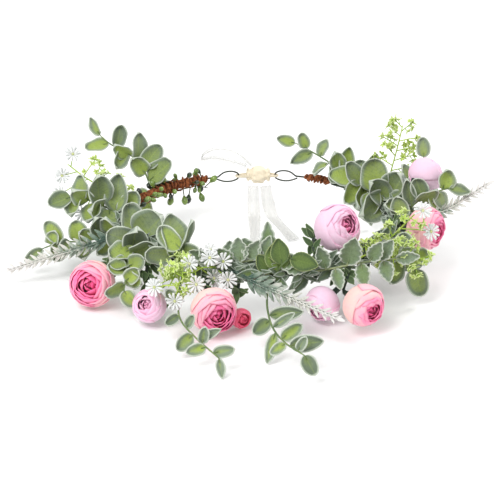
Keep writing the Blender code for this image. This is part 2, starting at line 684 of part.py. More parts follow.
class Stem:
    """A leafy stem: one closed body with everything that grows out of it."""

    def __init__(self, name, route, radius, stations, colour):
        self.name = name
        self.colour = colour
        self.radius = radius
        self.route = route
        self.total = length_of(route)
        pad = 1.1
        marks = sorted(min(max(share * self.total, 2.4), self.total - 2.4) for share in stations)
        marks = self.spread(marks, pad)
        self.marks = marks
        cuts = {0.0, self.total}
        for mark in marks:
            cuts.update((mark - pad, mark + pad))
        whole = sorted(cuts)
        filled = []
        for a, b in zip(whole, whole[1:]):
            parts = max(1, round((b - a) / 9.0))
            filled.extend(a + (b - a) * i / parts for i in range(parts))
        filled.append(self.total)
        points = [at_distance(route, distance) for distance in filled]
        taper = [radius * (1.0 - 0.3 * distance / self.total) for distance in filled]
        rings = tube_rings(points, taper, 4, Vector((0.31, 0.17, 0.93)))
        self.body = Growth(rings[0])
        stretches = self.body.grow(rings[1:])
        self.sides = {}
        for mark in marks:
            index = min(range(len(filled)), key=lambda i: abs(filled[i] - (mark + pad)))
            self.sides[mark] = list(stretches[index - 1])
        self.own = surface(rings)
        self.blades = []
        OBSTACLES[name] = self.own

    @staticmethod
    def spread(marks, pad):
        """Keep stations far enough apart for each to have its own stretch of stem."""
        spaced = []
        for mark in marks:
            if spaced and mark - spaced[-1] < 0.6:
                continue
            if spaced and mark - spaced[-1] < 2 * pad + 0.5:
                mark = spaced[-1] + 2 * pad + 0.5
            spaced.append(mark)
        return spaced

    def root_of(self, share):
        """Nearest station to a share of the stem's length."""
        wanted = share * self.total
        return min(self.marks, key=lambda mark: abs(mark - wanted))

    def pick_side(self, mark, way):
        """Side face of a station that looks most along a direction."""
        return max(self.sides[mark], key=lambda face: face.normal.dot(way))

    def add_blade(self, share, swing, lean, length, width, roll=0, outline=LEAF_OUTLINE,
                  thickness=LEAF_THICKNESS, curl=0.10):
        """Grow one leaf, turned about the stem until it is clear of everything."""
        if share >= 1.0:
            mark = None
            base = self.route[-1].copy()
            axis = (self.route[-1] - at_distance(self.route, self.total - 3.0)).normalized()
        else:
            mark = self.root_of(share)
            base = at_distance(self.route, mark)
            ahead = at_distance(self.route, min(mark + 1.5, self.total))
            axis = (ahead - at_distance(self.route, max(mark - 1.5, 0.0))).normalized()
        way = seen(swing, lean)
        for _, turn, opening, size in TRIES:
            along, face = shifted(way, axis, turn, opening, roll)
            start = base + along * (self.radius * 0.7)
            if self.fits(mark, start, along, face, length * size, width * size, thickness, outline, curl):
                return
        raise RuntimeError("no room for a leaf on " + self.name)

    def fits(self, mark, start, along, face, length, width, thickness, outline, curl):
        """Test one placing of a leaf and grow it there if it is clear."""
        plain = blade_rings(start, along, face, length, width, thickness, outline, curl)
        fat = blade_rings(start, along, face, length, width, thickness, outline, curl, grown=CLEARANCE)
        if not is_clear(surface(fat), self.name):
            return False
        tree = surface(plain)
        if mark is not None and tree.overlap(self.own):
            return False
        if any(tree.overlap(other) for other in self.blades):
            return False
        if mark is None:
            base_face = self.body.end
        else:
            base_face = self.pick_side(mark, along)
            base_face.normal_update()
            if base_face.normal.dot(along) < 0.25:
                return False
            self.sides[mark].remove(base_face)
        self.body.sprout(base_face, plain)
        self.blades.append(tree)
        return True

    def add_twig(self, share, swing, lean, length, head, sag=0.1):
        """Grow a thin twig that ends in a head, such as a daisy, a tuft or a berry."""
        mark = self.root_of(share)
        base = at_distance(self.route, mark)
        ahead = at_distance(self.route, min(mark + 1.5, self.total))
        axis = (ahead - at_distance(self.route, max(mark - 1.5, 0.0))).normalized()
        way = seen(swing, lean)
        for _, turn, opening, size in TRIES:
            along, _ = shifted(way, axis, turn, opening, 0)
            plain = self.twig_rings(base, along, length * size, head, sag, 0.0)
            fat = self.twig_rings(base, along, length * size, head, sag, CLEARANCE)
            tree = surface(plain)
            if not is_clear(surface(fat), self.name) or tree.overlap(self.own):
                continue
            if any(tree.overlap(other) for other in self.blades):
                continue
            face = self.pick_side(mark, along)
            face.normal_update()
            if face.normal.dot(along) < 0.25:
                continue
            self.sides[mark].remove(face)
            self.body.sprout(face, plain)
            self.blades.append(tree)
            return
        raise RuntimeError("no room for a twig on " + self.name)

    def twig_rings(self, base, along, length, head, sag, grown):
        """Sections of a twig and its head."""
        start = base + along * (self.radius * 0.7 + 0.5)
        count = 2 if length > 10 else 1
        points = [start + along * (length * i / count) - Vector((0, 0, sag * length * (i / count) ** 2))
                  for i in range(count + 1)]
        way = (points[-1] - points[-2]).normalized()
        radii = [TWIG_RADIUS + grown] * len(points)
        rings = tube_rings(points, radii, 4, Vector((0.31, 0.17, 0.93)))
        turned = way if head[0] != "daisy" else (way * 0.35 + TOWARD).normalized()
        place = points[-1]
        for ahead, radius in HEADS[head[0]]:
            centre = place + turned * (ahead * head[1] + (grown if ahead > 0.7 else 0.0))
            hint = rings[-1][0] - place
            frame = tube_rings([centre, centre + turned], [radius * head[1] + grown] * 2, 4, hint)
            rings.append(frame[0])
        return rings

    def finish(self):
        """Close the body and make its object."""
        self.body.close()
        note_obstacle(self.name, self.body.mesh)
        make_object(self.name, self.body.mesh, self.colour, 0.85)


# Heads as (distance ahead, radius) steps, in shares of the head's own radius.
HEADS = {
    "daisy": ((0.16, 0.25), (0.24, 1.0), (0.44, 0.92), (0.52, 0.3)),
    "tuft": ((0.5, 0.8), (1.5, 1.0), (2.1, 0.6)),
    "berry": ((0.5, 0.7), (1.3, 1.0), (2.3, 0.7), (3.0, 0.25)),
}


def shifted(way, axis, turn, opening, roll):
    """A leaf's direction and face after turning it about the stem and opening it from the stem."""
    hinge = axis.cross(way)
    if hinge.length < 1e-3:
        hinge = axis.orthogonal()
    opened = Matrix.Rotation(math.radians(opening), 3, hinge) @ way
    along = (Matrix.Rotation(math.radians(turn), 3, axis) @ opened).normalized()
    look = TOWARD if abs(along.dot(TOWARD)) < 0.9 else UP
    face = (look - along * look.dot(along)).normalized()
    face = Matrix.Rotation(math.radians(roll), 3, along) @ face
    return along, face


# name: ring angle, clock, run along the ring in degrees, then offsets on the way to the tip.
ROUTES = {
    "leaf_sprig_left_top": (150, 8, -6, ((-6, 6, 15), (-16, 11, 23), (-28, 13, 29), (-35, 14, 35))),
    "leaf_sprig_left_upper": (176, 40, 4, ((-9, 0, 6), (-20, 0, 11), (-32, -1, 14))),
    "leaf_sprig_left_lower": (186, -20, 5, ((-12, -2, -3), (-26, -4, -5), (-38, -5, -5), (-50, -6, -9))),
    "leaf_sprig_left_front": (206, 60, 6, ((-4, -10, 0), (-6, -25, -9), (-7, -38, -16))),
    "leaf_sprig_centre_left": (230, 60, 5, ((2, -3, 6), (3, -4, 12))),
    "leaf_sprig_hanging_left": (232, -35, 6, ((-1, -22, -6), (0, -44, -11), (10, -66, -13), (24, -88, -15))),
    "leaf_sprig_hanging_front": (266, -30, 6, ((-1, -20, -8), (2, -47, -9.5), (9, -68, -9), (19, -83, -9))),
    "leaf_sprig_right_back": (40, 8, 7, ((-7, 3, 8), (-19, 7, 15), (-33, 12, 22), (-40, 14, 25))),
    "leaf_sprig_right_inner": (14, 110, 5, ((-5, 2, 3), (-14, 9, 6), (-20, 16, 8))),
    "leaf_sprig_right_outer": (352, 45, 6, ((4, -1, 7), (15, -3, 17), (28, -4, 22))),
    "leaf_sprig_right_top": (9, 30, 6, ((8, 8, 12), (15, 7, 23), (18, 6, 31))),
    "leaf_sprig_right_front": (318, -10, 5, ((6, -4, 0), (13, -9, -1), (19, -12, -5))),
    "dusty_sprig_front": (250, 85, 6, ((8, 0, 2), (22, -1, 4), (34, -3, 2))),
    "dusty_sprig_right": (288, 10, 5, ((6, -6, 4), (24, -4, 7), (44, 4, 6))),
    "rose_leaf_sprig": (270, 25, 5, ((3, -2, 6), (8, -1, 10))),
    "white_spike_left": (190, 10, 5, ((-14, -6, -4), (-43, -13, -11), (-70, -19, -18))),
    "white_spike_front": (255, 25, 5, ((14, -14, -2), (36, -30, -5), (58, -42, -10))),
    "white_spike_right": (344, 25, 5, ((14, 4, 4), (34, 8, 13), (54, 12, 25))),
    "daisy_spray_left": (160, 35, 5, ((-14, 4, 8), (-28, 6, 16), (-40, 8, 25))),
    "daisy_spray_centre": (240, 30, 6, ((-3, -8, 2), (-8, -18, 2), (-14, -28, 0))),
    "daisy_spray_middle": (257, 50, -5, ((-3, -7, 3), (-8, -10, 4), (-14, -14, 2))),
    "daisy_spray_right": (322, 60, 5, ((7, -3, 9), (13, -7, 18), (18, -12, 26))),
    "green_filler_right": (19, 55, 5, ((4, 6, 16), (8, 9, 32), (11, 10, 47))),
    "green_filler_centre": (235, 0, 4, ((-2, -8, 2), (-5, -19, 2), (-8, -29, 0))),
    "green_filler_front": (310, 40, 4, ((7, -3, 3), (18, -7, 3), (30, -9, 1))),
    "berries_back": (134, -75, -14, ((4, 1, -1), (8, 1, -2))),
    "berries_side": (170, 200, 18, ((1, -6, -1), (3, -12, -3))),
}

# Leaves: share along the stem, swing, lean, length, width, roll.
LEAVES = {
    "leaf_sprig_left_top": (
        (1.0, 125, 0, 14, 7, 0), (0.88, 195, 10, 16, 10, 10), (0.78, 80, 0, 15, 10, -10),
        (0.70, 255, 20, 13, 10, 0), (0.52, 75, 10, 18, 12, 30), (0.42, 50, 0, 19, 13, 0),
        (0.26, 40, 15, 21, 16, 0), (0.18, 15, -10, 21, 8, 10), (0.04, 270, FOOT_LEAN, FOOT_LENGTH, 10, 0),
        (0.11, 235, 20, 17, 11, 0), (0.60, 150, 20, 14, 11, 0), (0.34, 120, 15, 15, 12, 0)),
    "leaf_sprig_left_upper": (
        (0.25, 85, 10, 25, 15, 0), (0.52, 95, 20, 20, 16, 0), (0.80, 125, 10, 15, 14, 0),
        (1.0, 200, 10, 15, 12, 0), (0.88, 245, 25, 13, 11, 0), (0.60, 255, 30, 16, 13, 0),
        (0.35, 265, 40, 16, 14, 0), (0.10, 55, 15, 18, 13, 0), (0.18, 185, 40, 18, 14, 0),
        (0.44, 215, 45, 17, 14, 0), (0.70, 160, 30, 15, 13, 0)),
    "leaf_sprig_left_lower": (
        (0.38, 100, 20, 14, 13, 0), (0.60, 95, 10, 13, 12, 0), (0.80, 125, 0, 16, 10, 0),
        (0.90, 80, 30, 9, 9, 0), (0.82, 255, 10, 12, 11, 0), (0.52, 262, 20, 12, 11, 0),
        (1.0, 215, 0, 14, 7, 0), (0.20, 90, 30, 14, 12, 0), (0.26, 250, 25, 14, 12, 0),
        (0.68, 230, 35, 11, 10, 0), (0.45, 150, 40, 11, 10, 0)),
    "leaf_sprig_left_front": (
        (0.05, 100, -10, 22, 16, 0), (0.14, 45, 25, 25, 23, 0), (0.26, 160, 15, 19, 16, 0),
        (0.40, 200, 30, 15, 14, 0), (0.48, 15, 20, 18, 15, 0), (0.70, 170, 20, 12, 11, 0),
        (0.64, 20, 30, 12, 11, 0), (0.86, 40, 20, 11, 9, 0), (0.90, 195, 10, 13, 10, 0),
        (1.0, 300, 10, 11, 9, 0), (0.34, 75, 40, 17, 15, 0), (0.56, 225, 30, 12, 11, 0),
        (0.78, 330, 30, 12, 10, 0)),
    "leaf_sprig_centre_left": (
        (0.35, 92, 0, 27, 19, 0), (0.66, 65, 10, 21, 8, 50), (0.52, 320, 30, 17, 15, 0),
        (0.20, 170, 20, 17, 13, 0), (0.80, 120, -20, 18, 12, 0)),
    "leaf_sprig_hanging_left": (
        (0.40, 130, 20, 11, 8, 0), (0.50, 215, 10, 9, 7, 0), (0.72, 225, 10, 12, 10, 0),
        (0.78, 25, 20, 15, 6, 0), (0.87, 195, 10, 11, 8, 0), (0.94, 10, 10, 12, 8, 0),
        (1.0, 280, 0, 11, 6, 0), (0.64, 60, 20, 9, 6, 0), (0.83, 80, 20, 10, 7, 0)),
    "leaf_sprig_hanging_front": (
        (0.44, 15, 10, 20, 10, 0), (0.50, 220, 10, 12, 10, 0), (0.60, 35, 15, 15, 6, 0),
        (0.66, 255, 8, 18, 8, 0), (0.76, 35, 10, 14, 9, 0), (0.86, 8, 5, 19, 11, 0),
        (0.82, 215, 10, 10, 7, 0), (1.0, 300, 0, 12, 10, 0), (0.94, 60, 15, 9, 6, 0)),
    "leaf_sprig_right_back": (
        (1.0, 165, 0, 13, 8, 0), (0.78, 205, 10, 16, 9, 0), (0.68, 75, 10, 12, 9, 0),
        (0.56, 215, 20, 14, 10, 30), (0.48, 255, 20, 13, 11, 0), (0.34, 80, 10, 18, 10, 0),
        (0.20, 55, 0, 17, 11, 0), (0.26, 225, 20, 14, 12, 0), (0.12, 250, 30, 18, 16, 0),
        (0.04, 270, FOOT_LEAN, FOOT_LENGTH, 10, 0), (0.86, 110, 10, 11, 8, 0), (0.42, 120, 20, 14, 11, 0)),
    "leaf_sprig_right_inner": (
        (0.05, 65, 20, 21, 18, 0), (0.42, 92, 10, 23, 19, 0), (0.62, 80, -20, 24, 13, 0),
        (1.0, 165, 10, 17, 14, 0), (0.80, 125, 20, 18, 12, 40), (0.25, 215, 35, 27, 19, 0),
        (0.50, 262, 30, 18, 13, 0), (0.84, 235, 20, 18, 13, 0), (0.66, 245, 30, 19, 12, 0),
        (0.15, 135, 30, 20, 15, 0), (0.35, 300, 40, 17, 13, 0), (0.92, 95, 20, 14, 12, 0),
        (0.10, 15, 20, 18, 13, 0)),
    "leaf_sprig_right_outer": (
        (0.10, 110, 20, 15, 12, 0), (0.42, 95, 0, 18, 9, 20), (0.52, 35, 30, 17, 11, 30),
        (0.74, 300, 20, 13, 10, 0), (0.92, 75, 10, 13, 12, 0), (1.0, -8, 0, 14, 8, 0),
        (0.86, 285, 10, 11, 9, 0), (0.22, 20, 25, 15, 11, 0), (0.30, 155, 25, 15, 12, 0),
        (0.63, 115, 10, 13, 11, 0)),
    "leaf_sprig_right_top": (
        (1.0, 92, 0, 13, 9, 0), (0.86, 15, 0, 11, 8, 0), (0.72, 250, 10, 10, 9, 0),
        (0.60, 110, 20, 11, 9, 0)),
    "leaf_sprig_right_front": (
        (0.20, 20, 25, 18, 14, 0), (0.48, 345, 20, 20, 16, 0), (0.30, 200, 30, 18, 13, 0),
        (0.70, 95, 10, 16, 12, 0), (1.0, 285, 0, 17, 13, 0), (0.60, 220, 25, 16, 12, 0),
        (0.84, 30, 15, 14, 11, 0)),
    "rose_leaf_sprig": (
        (0.45, 92, 10, 17, 15, 0), (0.70, 55, 15, 15, 11, 0), (1.0, -15, 25, 17, 11, 0),
        (0.25, 130, 20, 13, 10, 0)),
}

DUSTY_LEAVES = {
    "dusty_sprig_front": (
        (0.03, 150, 10, 17, 8, 0), (0.12, 175, 35, 13, 9, 0), (0.20, 80, -10, 14, 9, 0),
        (0.30, 140, 15, 13, 9, 0), (0.40, 95, 10, 14, 11, 0), (0.50, 60, 20, 14, 10, 0),
        (0.60, 120, 10, 14, 9, 0), (0.80, 92, 0, 22, 9, 0), (0.70, 70, 10, 15, 8, 0),
        (0.90, 300, 30, 15, 10, 0), (1.0, -10, 15, 16, 11, 0)),
    "dusty_sprig_right": (
        (0.20, 110, 15, 14, 9, 0), (0.45, 75, 20, 17, 13, 0), (0.60, 280, 20, 15, 9, 0),
        (0.70, 60, 20, 13, 9, 0), (0.80, 55, 10, 14, 9, 0), (0.86, 285, 10, 13, 9, 0),
        (0.32, 285, 20, 13, 8, 0), (1.0, 5, 0, 14, 8, 0)),
}

# Spikes: pairs of leaflets, their length at the root and at the tip, and the spike's swing.
SPIKES = {
    "white_spike_left": (13, 10.0, 5.0, 188),
    "white_spike_front": (12, 10.0, 5.0, -22),
    "white_spike_right": (11, 9.0, 4.5, 28),
}

# Twigs: share along the stem, swing, lean, length, head.
DAISY = ("daisy", DAISY_RADIUS)
SMALL_DAISY = ("daisy", DAISY_RADIUS * 0.8)
TUFT = ("tuft", TUFT_RADIUS)
BERRY = ("berry", BERRY_RADIUS)
TWIGS = {
    "daisy_spray_left": (
        (0.95, 80, 10, 8, DAISY), (0.85, 190, 10, 9, DAISY), (0.70, 205, 10, 19, DAISY),
        (0.55, 240, 20, 20, DAISY), (0.42, 250, 30, 13, DAISY), (0.62, 70, 0, 12, TUFT),
        (0.30, 80, 10, 14, TUFT), (0.76, 60, -10, 14, TUFT), (0.48, 110, 10, 10, TUFT),
        (0.22, 60, 20, 10, TUFT)),
    "daisy_spray_centre": (
        (0.10, 60, 30, 8, SMALL_DAISY), (0.30, 20, 30, 10, DAISY), (0.90, 250, 20, 9, DAISY),
        (0.97, 180, 10, 12, DAISY), (0.55, 110, 20, 7, TUFT), (0.62, 250, 30, 8, TUFT),
        (0.75, 150, 10, 9, TUFT), (0.82, 90, 10, 8, TUFT), (0.45, 200, 10, 9, TUFT)),
    "daisy_spray_middle": (
        (0.18, 40, 40, 6, DAISY), (0.50, 100, 30, 6, DAISY), (0.80, 150, 30, 7, DAISY),
        (0.95, 250, 40, 8, DAISY), (0.35, 290, 50, 12, DAISY), (0.65, 70, 0, 11, SMALL_DAISY)),
    "daisy_spray_right": (
        (0.97, 45, 10, 4, DAISY), (0.55, 355, 20, 18, DAISY), (0.20, 345, 25, 24, DAISY),
        (0.36, 110, 20, 8, TUFT), (0.46, 20, 30, 8, TUFT), (0.70, 120, 20, 7, TUFT),
        (0.82, 330, 20, 7, TUFT)),
    "green_filler_right": (
        (0.16, 150, 20, 13, SMALL_DAISY), (0.24, 215, 30, 12, SMALL_DAISY), (0.32, 20, 30, 10, SMALL_DAISY),
        (0.38, 120, 10, 14, TUFT), (0.44, 55, 10, 15, TUFT), (0.50, 145, 0, 13, TUFT),
        (0.56, 40, 0, 13, TUFT), (0.62, 110, 25, 12, TUFT), (0.68, 60, 25, 12, TUFT),
        (0.74, 145, 10, 11, TUFT), (0.80, 35, 10, 11, TUFT), (0.86, 115, 10, 10, TUFT),
        (0.92, 60, 10, 9, TUFT), (0.97, 130, 10, 7, TUFT)),
    "green_filler_centre": (
        (0.20, 120, 30, 9, TUFT), (0.28, 30, 30, 10, TUFT), (0.38, 200, 30, 9, TUFT),
        (0.46, 70, 30, 11, TUFT), (0.54, 150, 20, 10, TUFT), (0.62, 10, 30, 10, TUFT),
        (0.70, 230, 20, 9, TUFT), (0.78, 90, 20, 9, TUFT), (0.86, 320, 20, 9, TUFT),
        (0.96, 180, 10, 8, TUFT)),
    "green_filler_front": (
        (0.16, 120, 20, 8, TUFT), (0.26, 60, 20, 11, TUFT), (0.35, 290, 30, 9, TUFT),
        (0.44, 100, 20, 11, TUFT), (0.52, 30, 30, 10, TUFT), (0.60, 300, 20, 10, TUFT),
        (0.68, 80, 20, 10, TUFT), (0.76, 340, 20, 10, TUFT), (0.84, 60, 10, 10, TUFT),
        (0.92, 290, 10, 9, TUFT), (0.97, 10, 10, 7, TUFT)),
    "berries_back": (
        (0.12, 250, 10, 3, BERRY), (0.35, 280, 20, 4, BERRY), (0.55, 260, 10, 4, BERRY),
        (0.75, 290, 0, 4, BERRY), (0.92, 10, 0, 5, BERRY)),
    "berries_side": (
        (0.10, 20, 20, 3, BERRY), (0.30, 330, 30, 3, BERRY), (0.50, 10, 30, 3, BERRY),
        (0.70, 340, 30, 3, BERRY), (0.88, 320, 30, 3, BERRY)),
}


def route_of(name, radius):
    """Smooth route of a stem, seated on the ring and then leaving it."""
    angle, clock, run, offsets = ROUTES[name]
    steps = max(2, abs(round(run / 4)))
    points = [seat(angle + run * i / steps, clock, radius) for i in range(steps + 1)]
    root = points[-1]
    points += [root + Vector(offset) for offset in offsets]
    return curve_through(points, 2.5)


def plan_stem(name, radius, shares, colour):
    """Lay a stem before anything grows on it."""
    return Stem(name, route_of(name, radius), radius, shares, colour)


def grow_spike(stem, settings):
    """Herringbone leaflets in pairs along a spike."""
    pairs, long, short, swing = settings
    for i in range(pairs):
        share = 0.22 + 0.74 * i / (pairs - 1)
        length = long + (short - long) * i / (pairs - 1)
        for side in (1, -1):
            stem.add_blade(share, swing + side * 42, 5, length, length * 0.34, 0, LEAFLET_OUTLINE,
                           LEAFLET_THICKNESS, 0.0)
    stem.add_blade(1.0, swing, 0, short * 1.2, short * 0.5, 0, LEAFLET_OUTLINE, LEAFLET_THICKNESS, 0.0)


def all_stems():
    """Lay every stem first, then let each one grow clear of all the others."""
    stems = {}
    for name, leaves in {**LEAVES, **DUSTY_LEAVES}.items():
        shares = [leaf[0] for leaf in leaves if leaf[0] < 1.0]
        colour = PALE_GREEN if name in DUSTY_LEAVES else LEAF_GREEN
        stems[name] = plan_stem(name, STEM_RADIUS, shares, colour)
    for name, (pairs, _, _, _) in SPIKES.items():
        shares = [0.22 + 0.74 * i / (pairs - 1) for i in range(pairs)]
        stems[name] = plan_stem(name, SPIKE_STEM_RADIUS, shares, WHITE)
    for name, twigs in TWIGS.items():
        colour = DARK_GREEN if name.startswith("berries") else FRESH_GREEN
        stems[name] = plan_stem(name, STEM_RADIUS, [twig[0] for twig in twigs], colour)
    for name, settings in SPIKES.items():
        grow_spike(stems[name], settings)
        stems[name].finish()
    for name, leaves in LEAVES.items():
        for share, swing, lean, length, width, roll in leaves:
            stems[name].add_blade(share, swing, lean, length * LEAF_SCALE, width * LEAF_SCALE, roll)
        stems[name].finish()
    for name, leaves in DUSTY_LEAVES.items():
        for share, swing, lean, length, width, roll in leaves:
            stems[name].add_blade(share, swing, lean, length * LEAF_SCALE, width * LEAF_SCALE, roll,
                                  DUSTY_OUTLINE, LEAF_THICKNESS, 0.0)
        stems[name].finish()
    for name, twigs in TWIGS.items():
        for share, swing, lean, length, head in twigs:
            stems[name].add_twig(share, swing, lean, length, head)
        stems[name].finish()


# ---------------------------------------------------------------- whole crown

def settle():
    """Move the crown so that the middle of its box's floor is the origin."""
    bpy.context.view_layer.update()
    low = Vector((math.inf,) * 3)
    high = Vector((-math.inf,) * 3)
    for piece in NODES:
        if piece.hide_render:
            continue
        for vert in piece.data.vertices:
            place = piece.matrix_world @ vert.co
            for axis in range(3):
                low[axis] = min(low[axis], place[axis])
                high[axis] = max(high[axis], place[axis])
    shift = Vector((-(low.x + high.x) / 2, -(low.y + high.y) / 2, -low.z))
    for piece in NODES:
        piece.location += shift


def build():
    """Make the whole crown."""
    for old in list(bpy.data.objects):
        bpy.data.objects.remove(old, do_unlink=True)
    core_wire()
    for name, (start, stop, radius, colour) in WRAPS.items():
        wrap(name, start, stop, radius, colour)
    ribbon_knot()
    ribbon_loops_and_tails()
    for name, place in bloom_places().items():
        rose(name, *place)
    all_stems()
    settle()


build()
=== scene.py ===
"""Look of a flower crown: roses, leaves, daisies, vine and ribbon built round its packed model.

Lengths are in millimetres while a piece is being made and become metres when it is finished.
Places are given from the middle of the ring, with the ring's wire at RING_LIFT above the floor.
"""
import json
import math
import random

import bmesh
import bpy
from mathutils import Matrix, Vector
from mathutils.kdtree import KDTree


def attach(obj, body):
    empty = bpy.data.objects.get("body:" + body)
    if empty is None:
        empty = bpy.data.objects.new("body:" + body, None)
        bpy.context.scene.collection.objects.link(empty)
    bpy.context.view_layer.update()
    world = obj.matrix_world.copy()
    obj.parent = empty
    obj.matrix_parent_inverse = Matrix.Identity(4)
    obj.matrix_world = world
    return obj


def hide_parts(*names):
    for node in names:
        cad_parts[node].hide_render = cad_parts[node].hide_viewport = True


bl_info = {
    "name": "Flower Crown",
    "version": (1, 0, 0),
    "blender": (4, 5, 0),
    "location": "View3D > Sidebar > Crown",
    "description": "Builds a hair crown of roses, leaves, daisies, vine and ribbon",
    "category": "Add Mesh",
}

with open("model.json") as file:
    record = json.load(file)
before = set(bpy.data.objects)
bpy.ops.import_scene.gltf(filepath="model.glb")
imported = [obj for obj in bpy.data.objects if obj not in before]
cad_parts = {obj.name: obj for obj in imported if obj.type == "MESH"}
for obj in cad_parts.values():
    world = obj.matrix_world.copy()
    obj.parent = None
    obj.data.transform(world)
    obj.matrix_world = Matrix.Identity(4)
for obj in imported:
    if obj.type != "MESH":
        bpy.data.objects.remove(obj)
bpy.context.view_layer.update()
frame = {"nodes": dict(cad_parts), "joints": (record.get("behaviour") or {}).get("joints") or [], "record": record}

# ---------------------------------------------------------------- sizes shared with the ring

RING_HALF_WIDTH = 90.0
RING_HALF_DEPTH = 86.0
RING_LIFT = 28.0
WIRE_RADIUS = 0.8
RING_START = 110.0
RING_END = 434.0
EYELET_LENGTH = 15.0
EYELET_HEIGHT = 7.4
CLEARANCE = 0.35
SEAT_GAP = 0.8
VINE_RADIUS = 3.4
TAPE_RADIUS = 2.9
STEM_RADIUS = 0.75
SPIKE_STEM_RADIUS = 0.7
ROSE_STEM_RADIUS = 1.1
ROSE_COLLAR_RADIUS = 1.9
ROSE_COLLAR_LENGTH = 9.0
TWIG_RADIUS = 0.5
BASE_DEPTH = 0.80
KNOT_X = -2.0
KNOT_RADIUS = 6.0
FOOT_LENGTH = RING_LIFT - 0.6

SHOW_TILT = math.radians(23.0)
RIGHT = Vector((1.0, 0.0, 0.0))
UP = Vector((0.0, math.sin(SHOW_TILT), math.cos(SHOW_TILT)))
TOWARD = Vector((0.0, -math.cos(SHOW_TILT), math.sin(SHOW_TILT)))
FOOT_LEAN = -math.degrees(SHOW_TILT)

HEAD_SEAT = next(item for item in frame["record"]["mounts"] if item["name"] == "head_seat")
RING_CENTRE = Vector(HEAD_SEAT["pos_m"])
TO_METRES = Matrix.Translation(RING_CENTRE) @ Matrix.Scale(0.001, 4)
TO_METRES = TO_METRES @ Matrix.Translation(Vector((0.0, 0.0, -RING_LIFT)))
FROM_METRES = TO_METRES.inverted()

# name: start and end round the ring, radius of the cover.
WRAPS = {
    "vine_wrap_back_left": (115.5, 168.0, VINE_RADIUS),
    "vine_wrap_back_right": (417.0, 429.5, VINE_RADIUS * 0.8),
    "stem_tape_left": (169.0, 232.0, TAPE_RADIUS),
    "stem_tape_front": (233.0, 306.0, TAPE_RADIUS),
    "stem_tape_right": (307.0, 416.0, TAPE_RADIUS),
}

# name: ring angle, clock, run along the ring in degrees, then offsets on the way to the tip.
ROUTES = {
    "leaf_sprig_left_top": (150, 8, -6, ((-6, 6, 15), (-16, 11, 23), (-28, 13, 29), (-35, 14, 35))),
    "leaf_sprig_left_upper": (176, 40, 4, ((-9, 0, 6), (-20, 0, 11), (-32, -1, 14))),
    "leaf_sprig_left_lower": (186, -20, 5, ((-12, -2, -3), (-26, -4, -5), (-38, -5, -5), (-50, -6, -9))),
    "leaf_sprig_left_front": (206, 60, 6, ((-4, -10, 0), (-6, -25, -9), (-7, -38, -16))),
    "leaf_sprig_centre_left": (230, 60, 5, ((2, -3, 6), (3, -4, 12))),
    "leaf_sprig_hanging_left": (232, -35, 6, ((-1, -22, -6), (0, -44, -11), (10, -66, -13), (24, -88, -15))),
    "leaf_sprig_hanging_front": (266, -30, 6, ((-1, -20, -8), (2, -47, -9.5), (9, -68, -9), (19, -83, -9))),
    "leaf_sprig_right_back": (40, 8, 7, ((-7, 3, 8), (-19, 7, 15), (-33, 12, 22), (-40, 14, 25))),
    "leaf_sprig_right_inner": (14, 110, 5, ((-5, 2, 3), (-14, 9, 6), (-20, 16, 8))),
    "leaf_sprig_right_outer": (352, 45, 6, ((4, -1, 7), (15, -3, 17), (28, -4, 22))),
    "leaf_sprig_right_top": (9, 30, 6, ((8, 8, 12), (15, 7, 23), (18, 6, 31))),
    "leaf_sprig_right_front": (318, -10, 5, ((6, -4, 0), (13, -9, -1), (19, -12, -5))),
    "dusty_sprig_front": (250, 85, 6, ((8, 0, 2), (22, -1, 4), (34, -3, 2))),
    "dusty_sprig_right": (288, 10, 5, ((6, -6, 4), (24, -4, 7), (44, 4, 6))),
    "rose_leaf_sprig": (270, 25, 5, ((3, -2, 6), (8, -1, 10))),
    "white_spike_left": (190, 10, 5, ((-14, -6, -4), (-43, -13, -11), (-70, -19, -18))),
    "white_spike_front": (255, 25, 5, ((14, -14, -2), (36, -30, -5), (58, -42, -10))),
    "white_spike_right": (344, 25, 5, ((14, 4, 4), (34, 8, 13), (54, 12, 25))),
    "daisy_spray_left": (160, 35, 5, ((-14, 4, 8), (-28, 6, 16), (-40, 8, 25))),
    "daisy_spray_centre": (240, 30, 6, ((-3, -8, 2), (-8, -18, 2), (-14, -28, 0))),
    "daisy_spray_middle": (257, 50, -5, ((-3, -7, 3), (-8, -10, 4), (-14, -14, 2))),
    "daisy_spray_right": (322, 60, 5, ((7, -3, 9), (13, -7, 18), (18, -12, 26))),
    "green_filler_right": (19, 55, 5, ((4, 6, 16), (8, 9, 32), (11, 10, 47))),
    "green_filler_centre": (235, 0, 4, ((-2, -8, 2), (-5, -19, 2), (-8, -29, 0))),
    "green_filler_front": (310, 40, 4, ((7, -3, 3), (18, -7, 3), (30, -9, 1))),
    "berries_back": (134, -75, -14, ((4, 1, -1), (8, 1, -2))),
    "berries_side": (170, 200, 18, ((1, -6, -1), (3, -12, -3))),
}

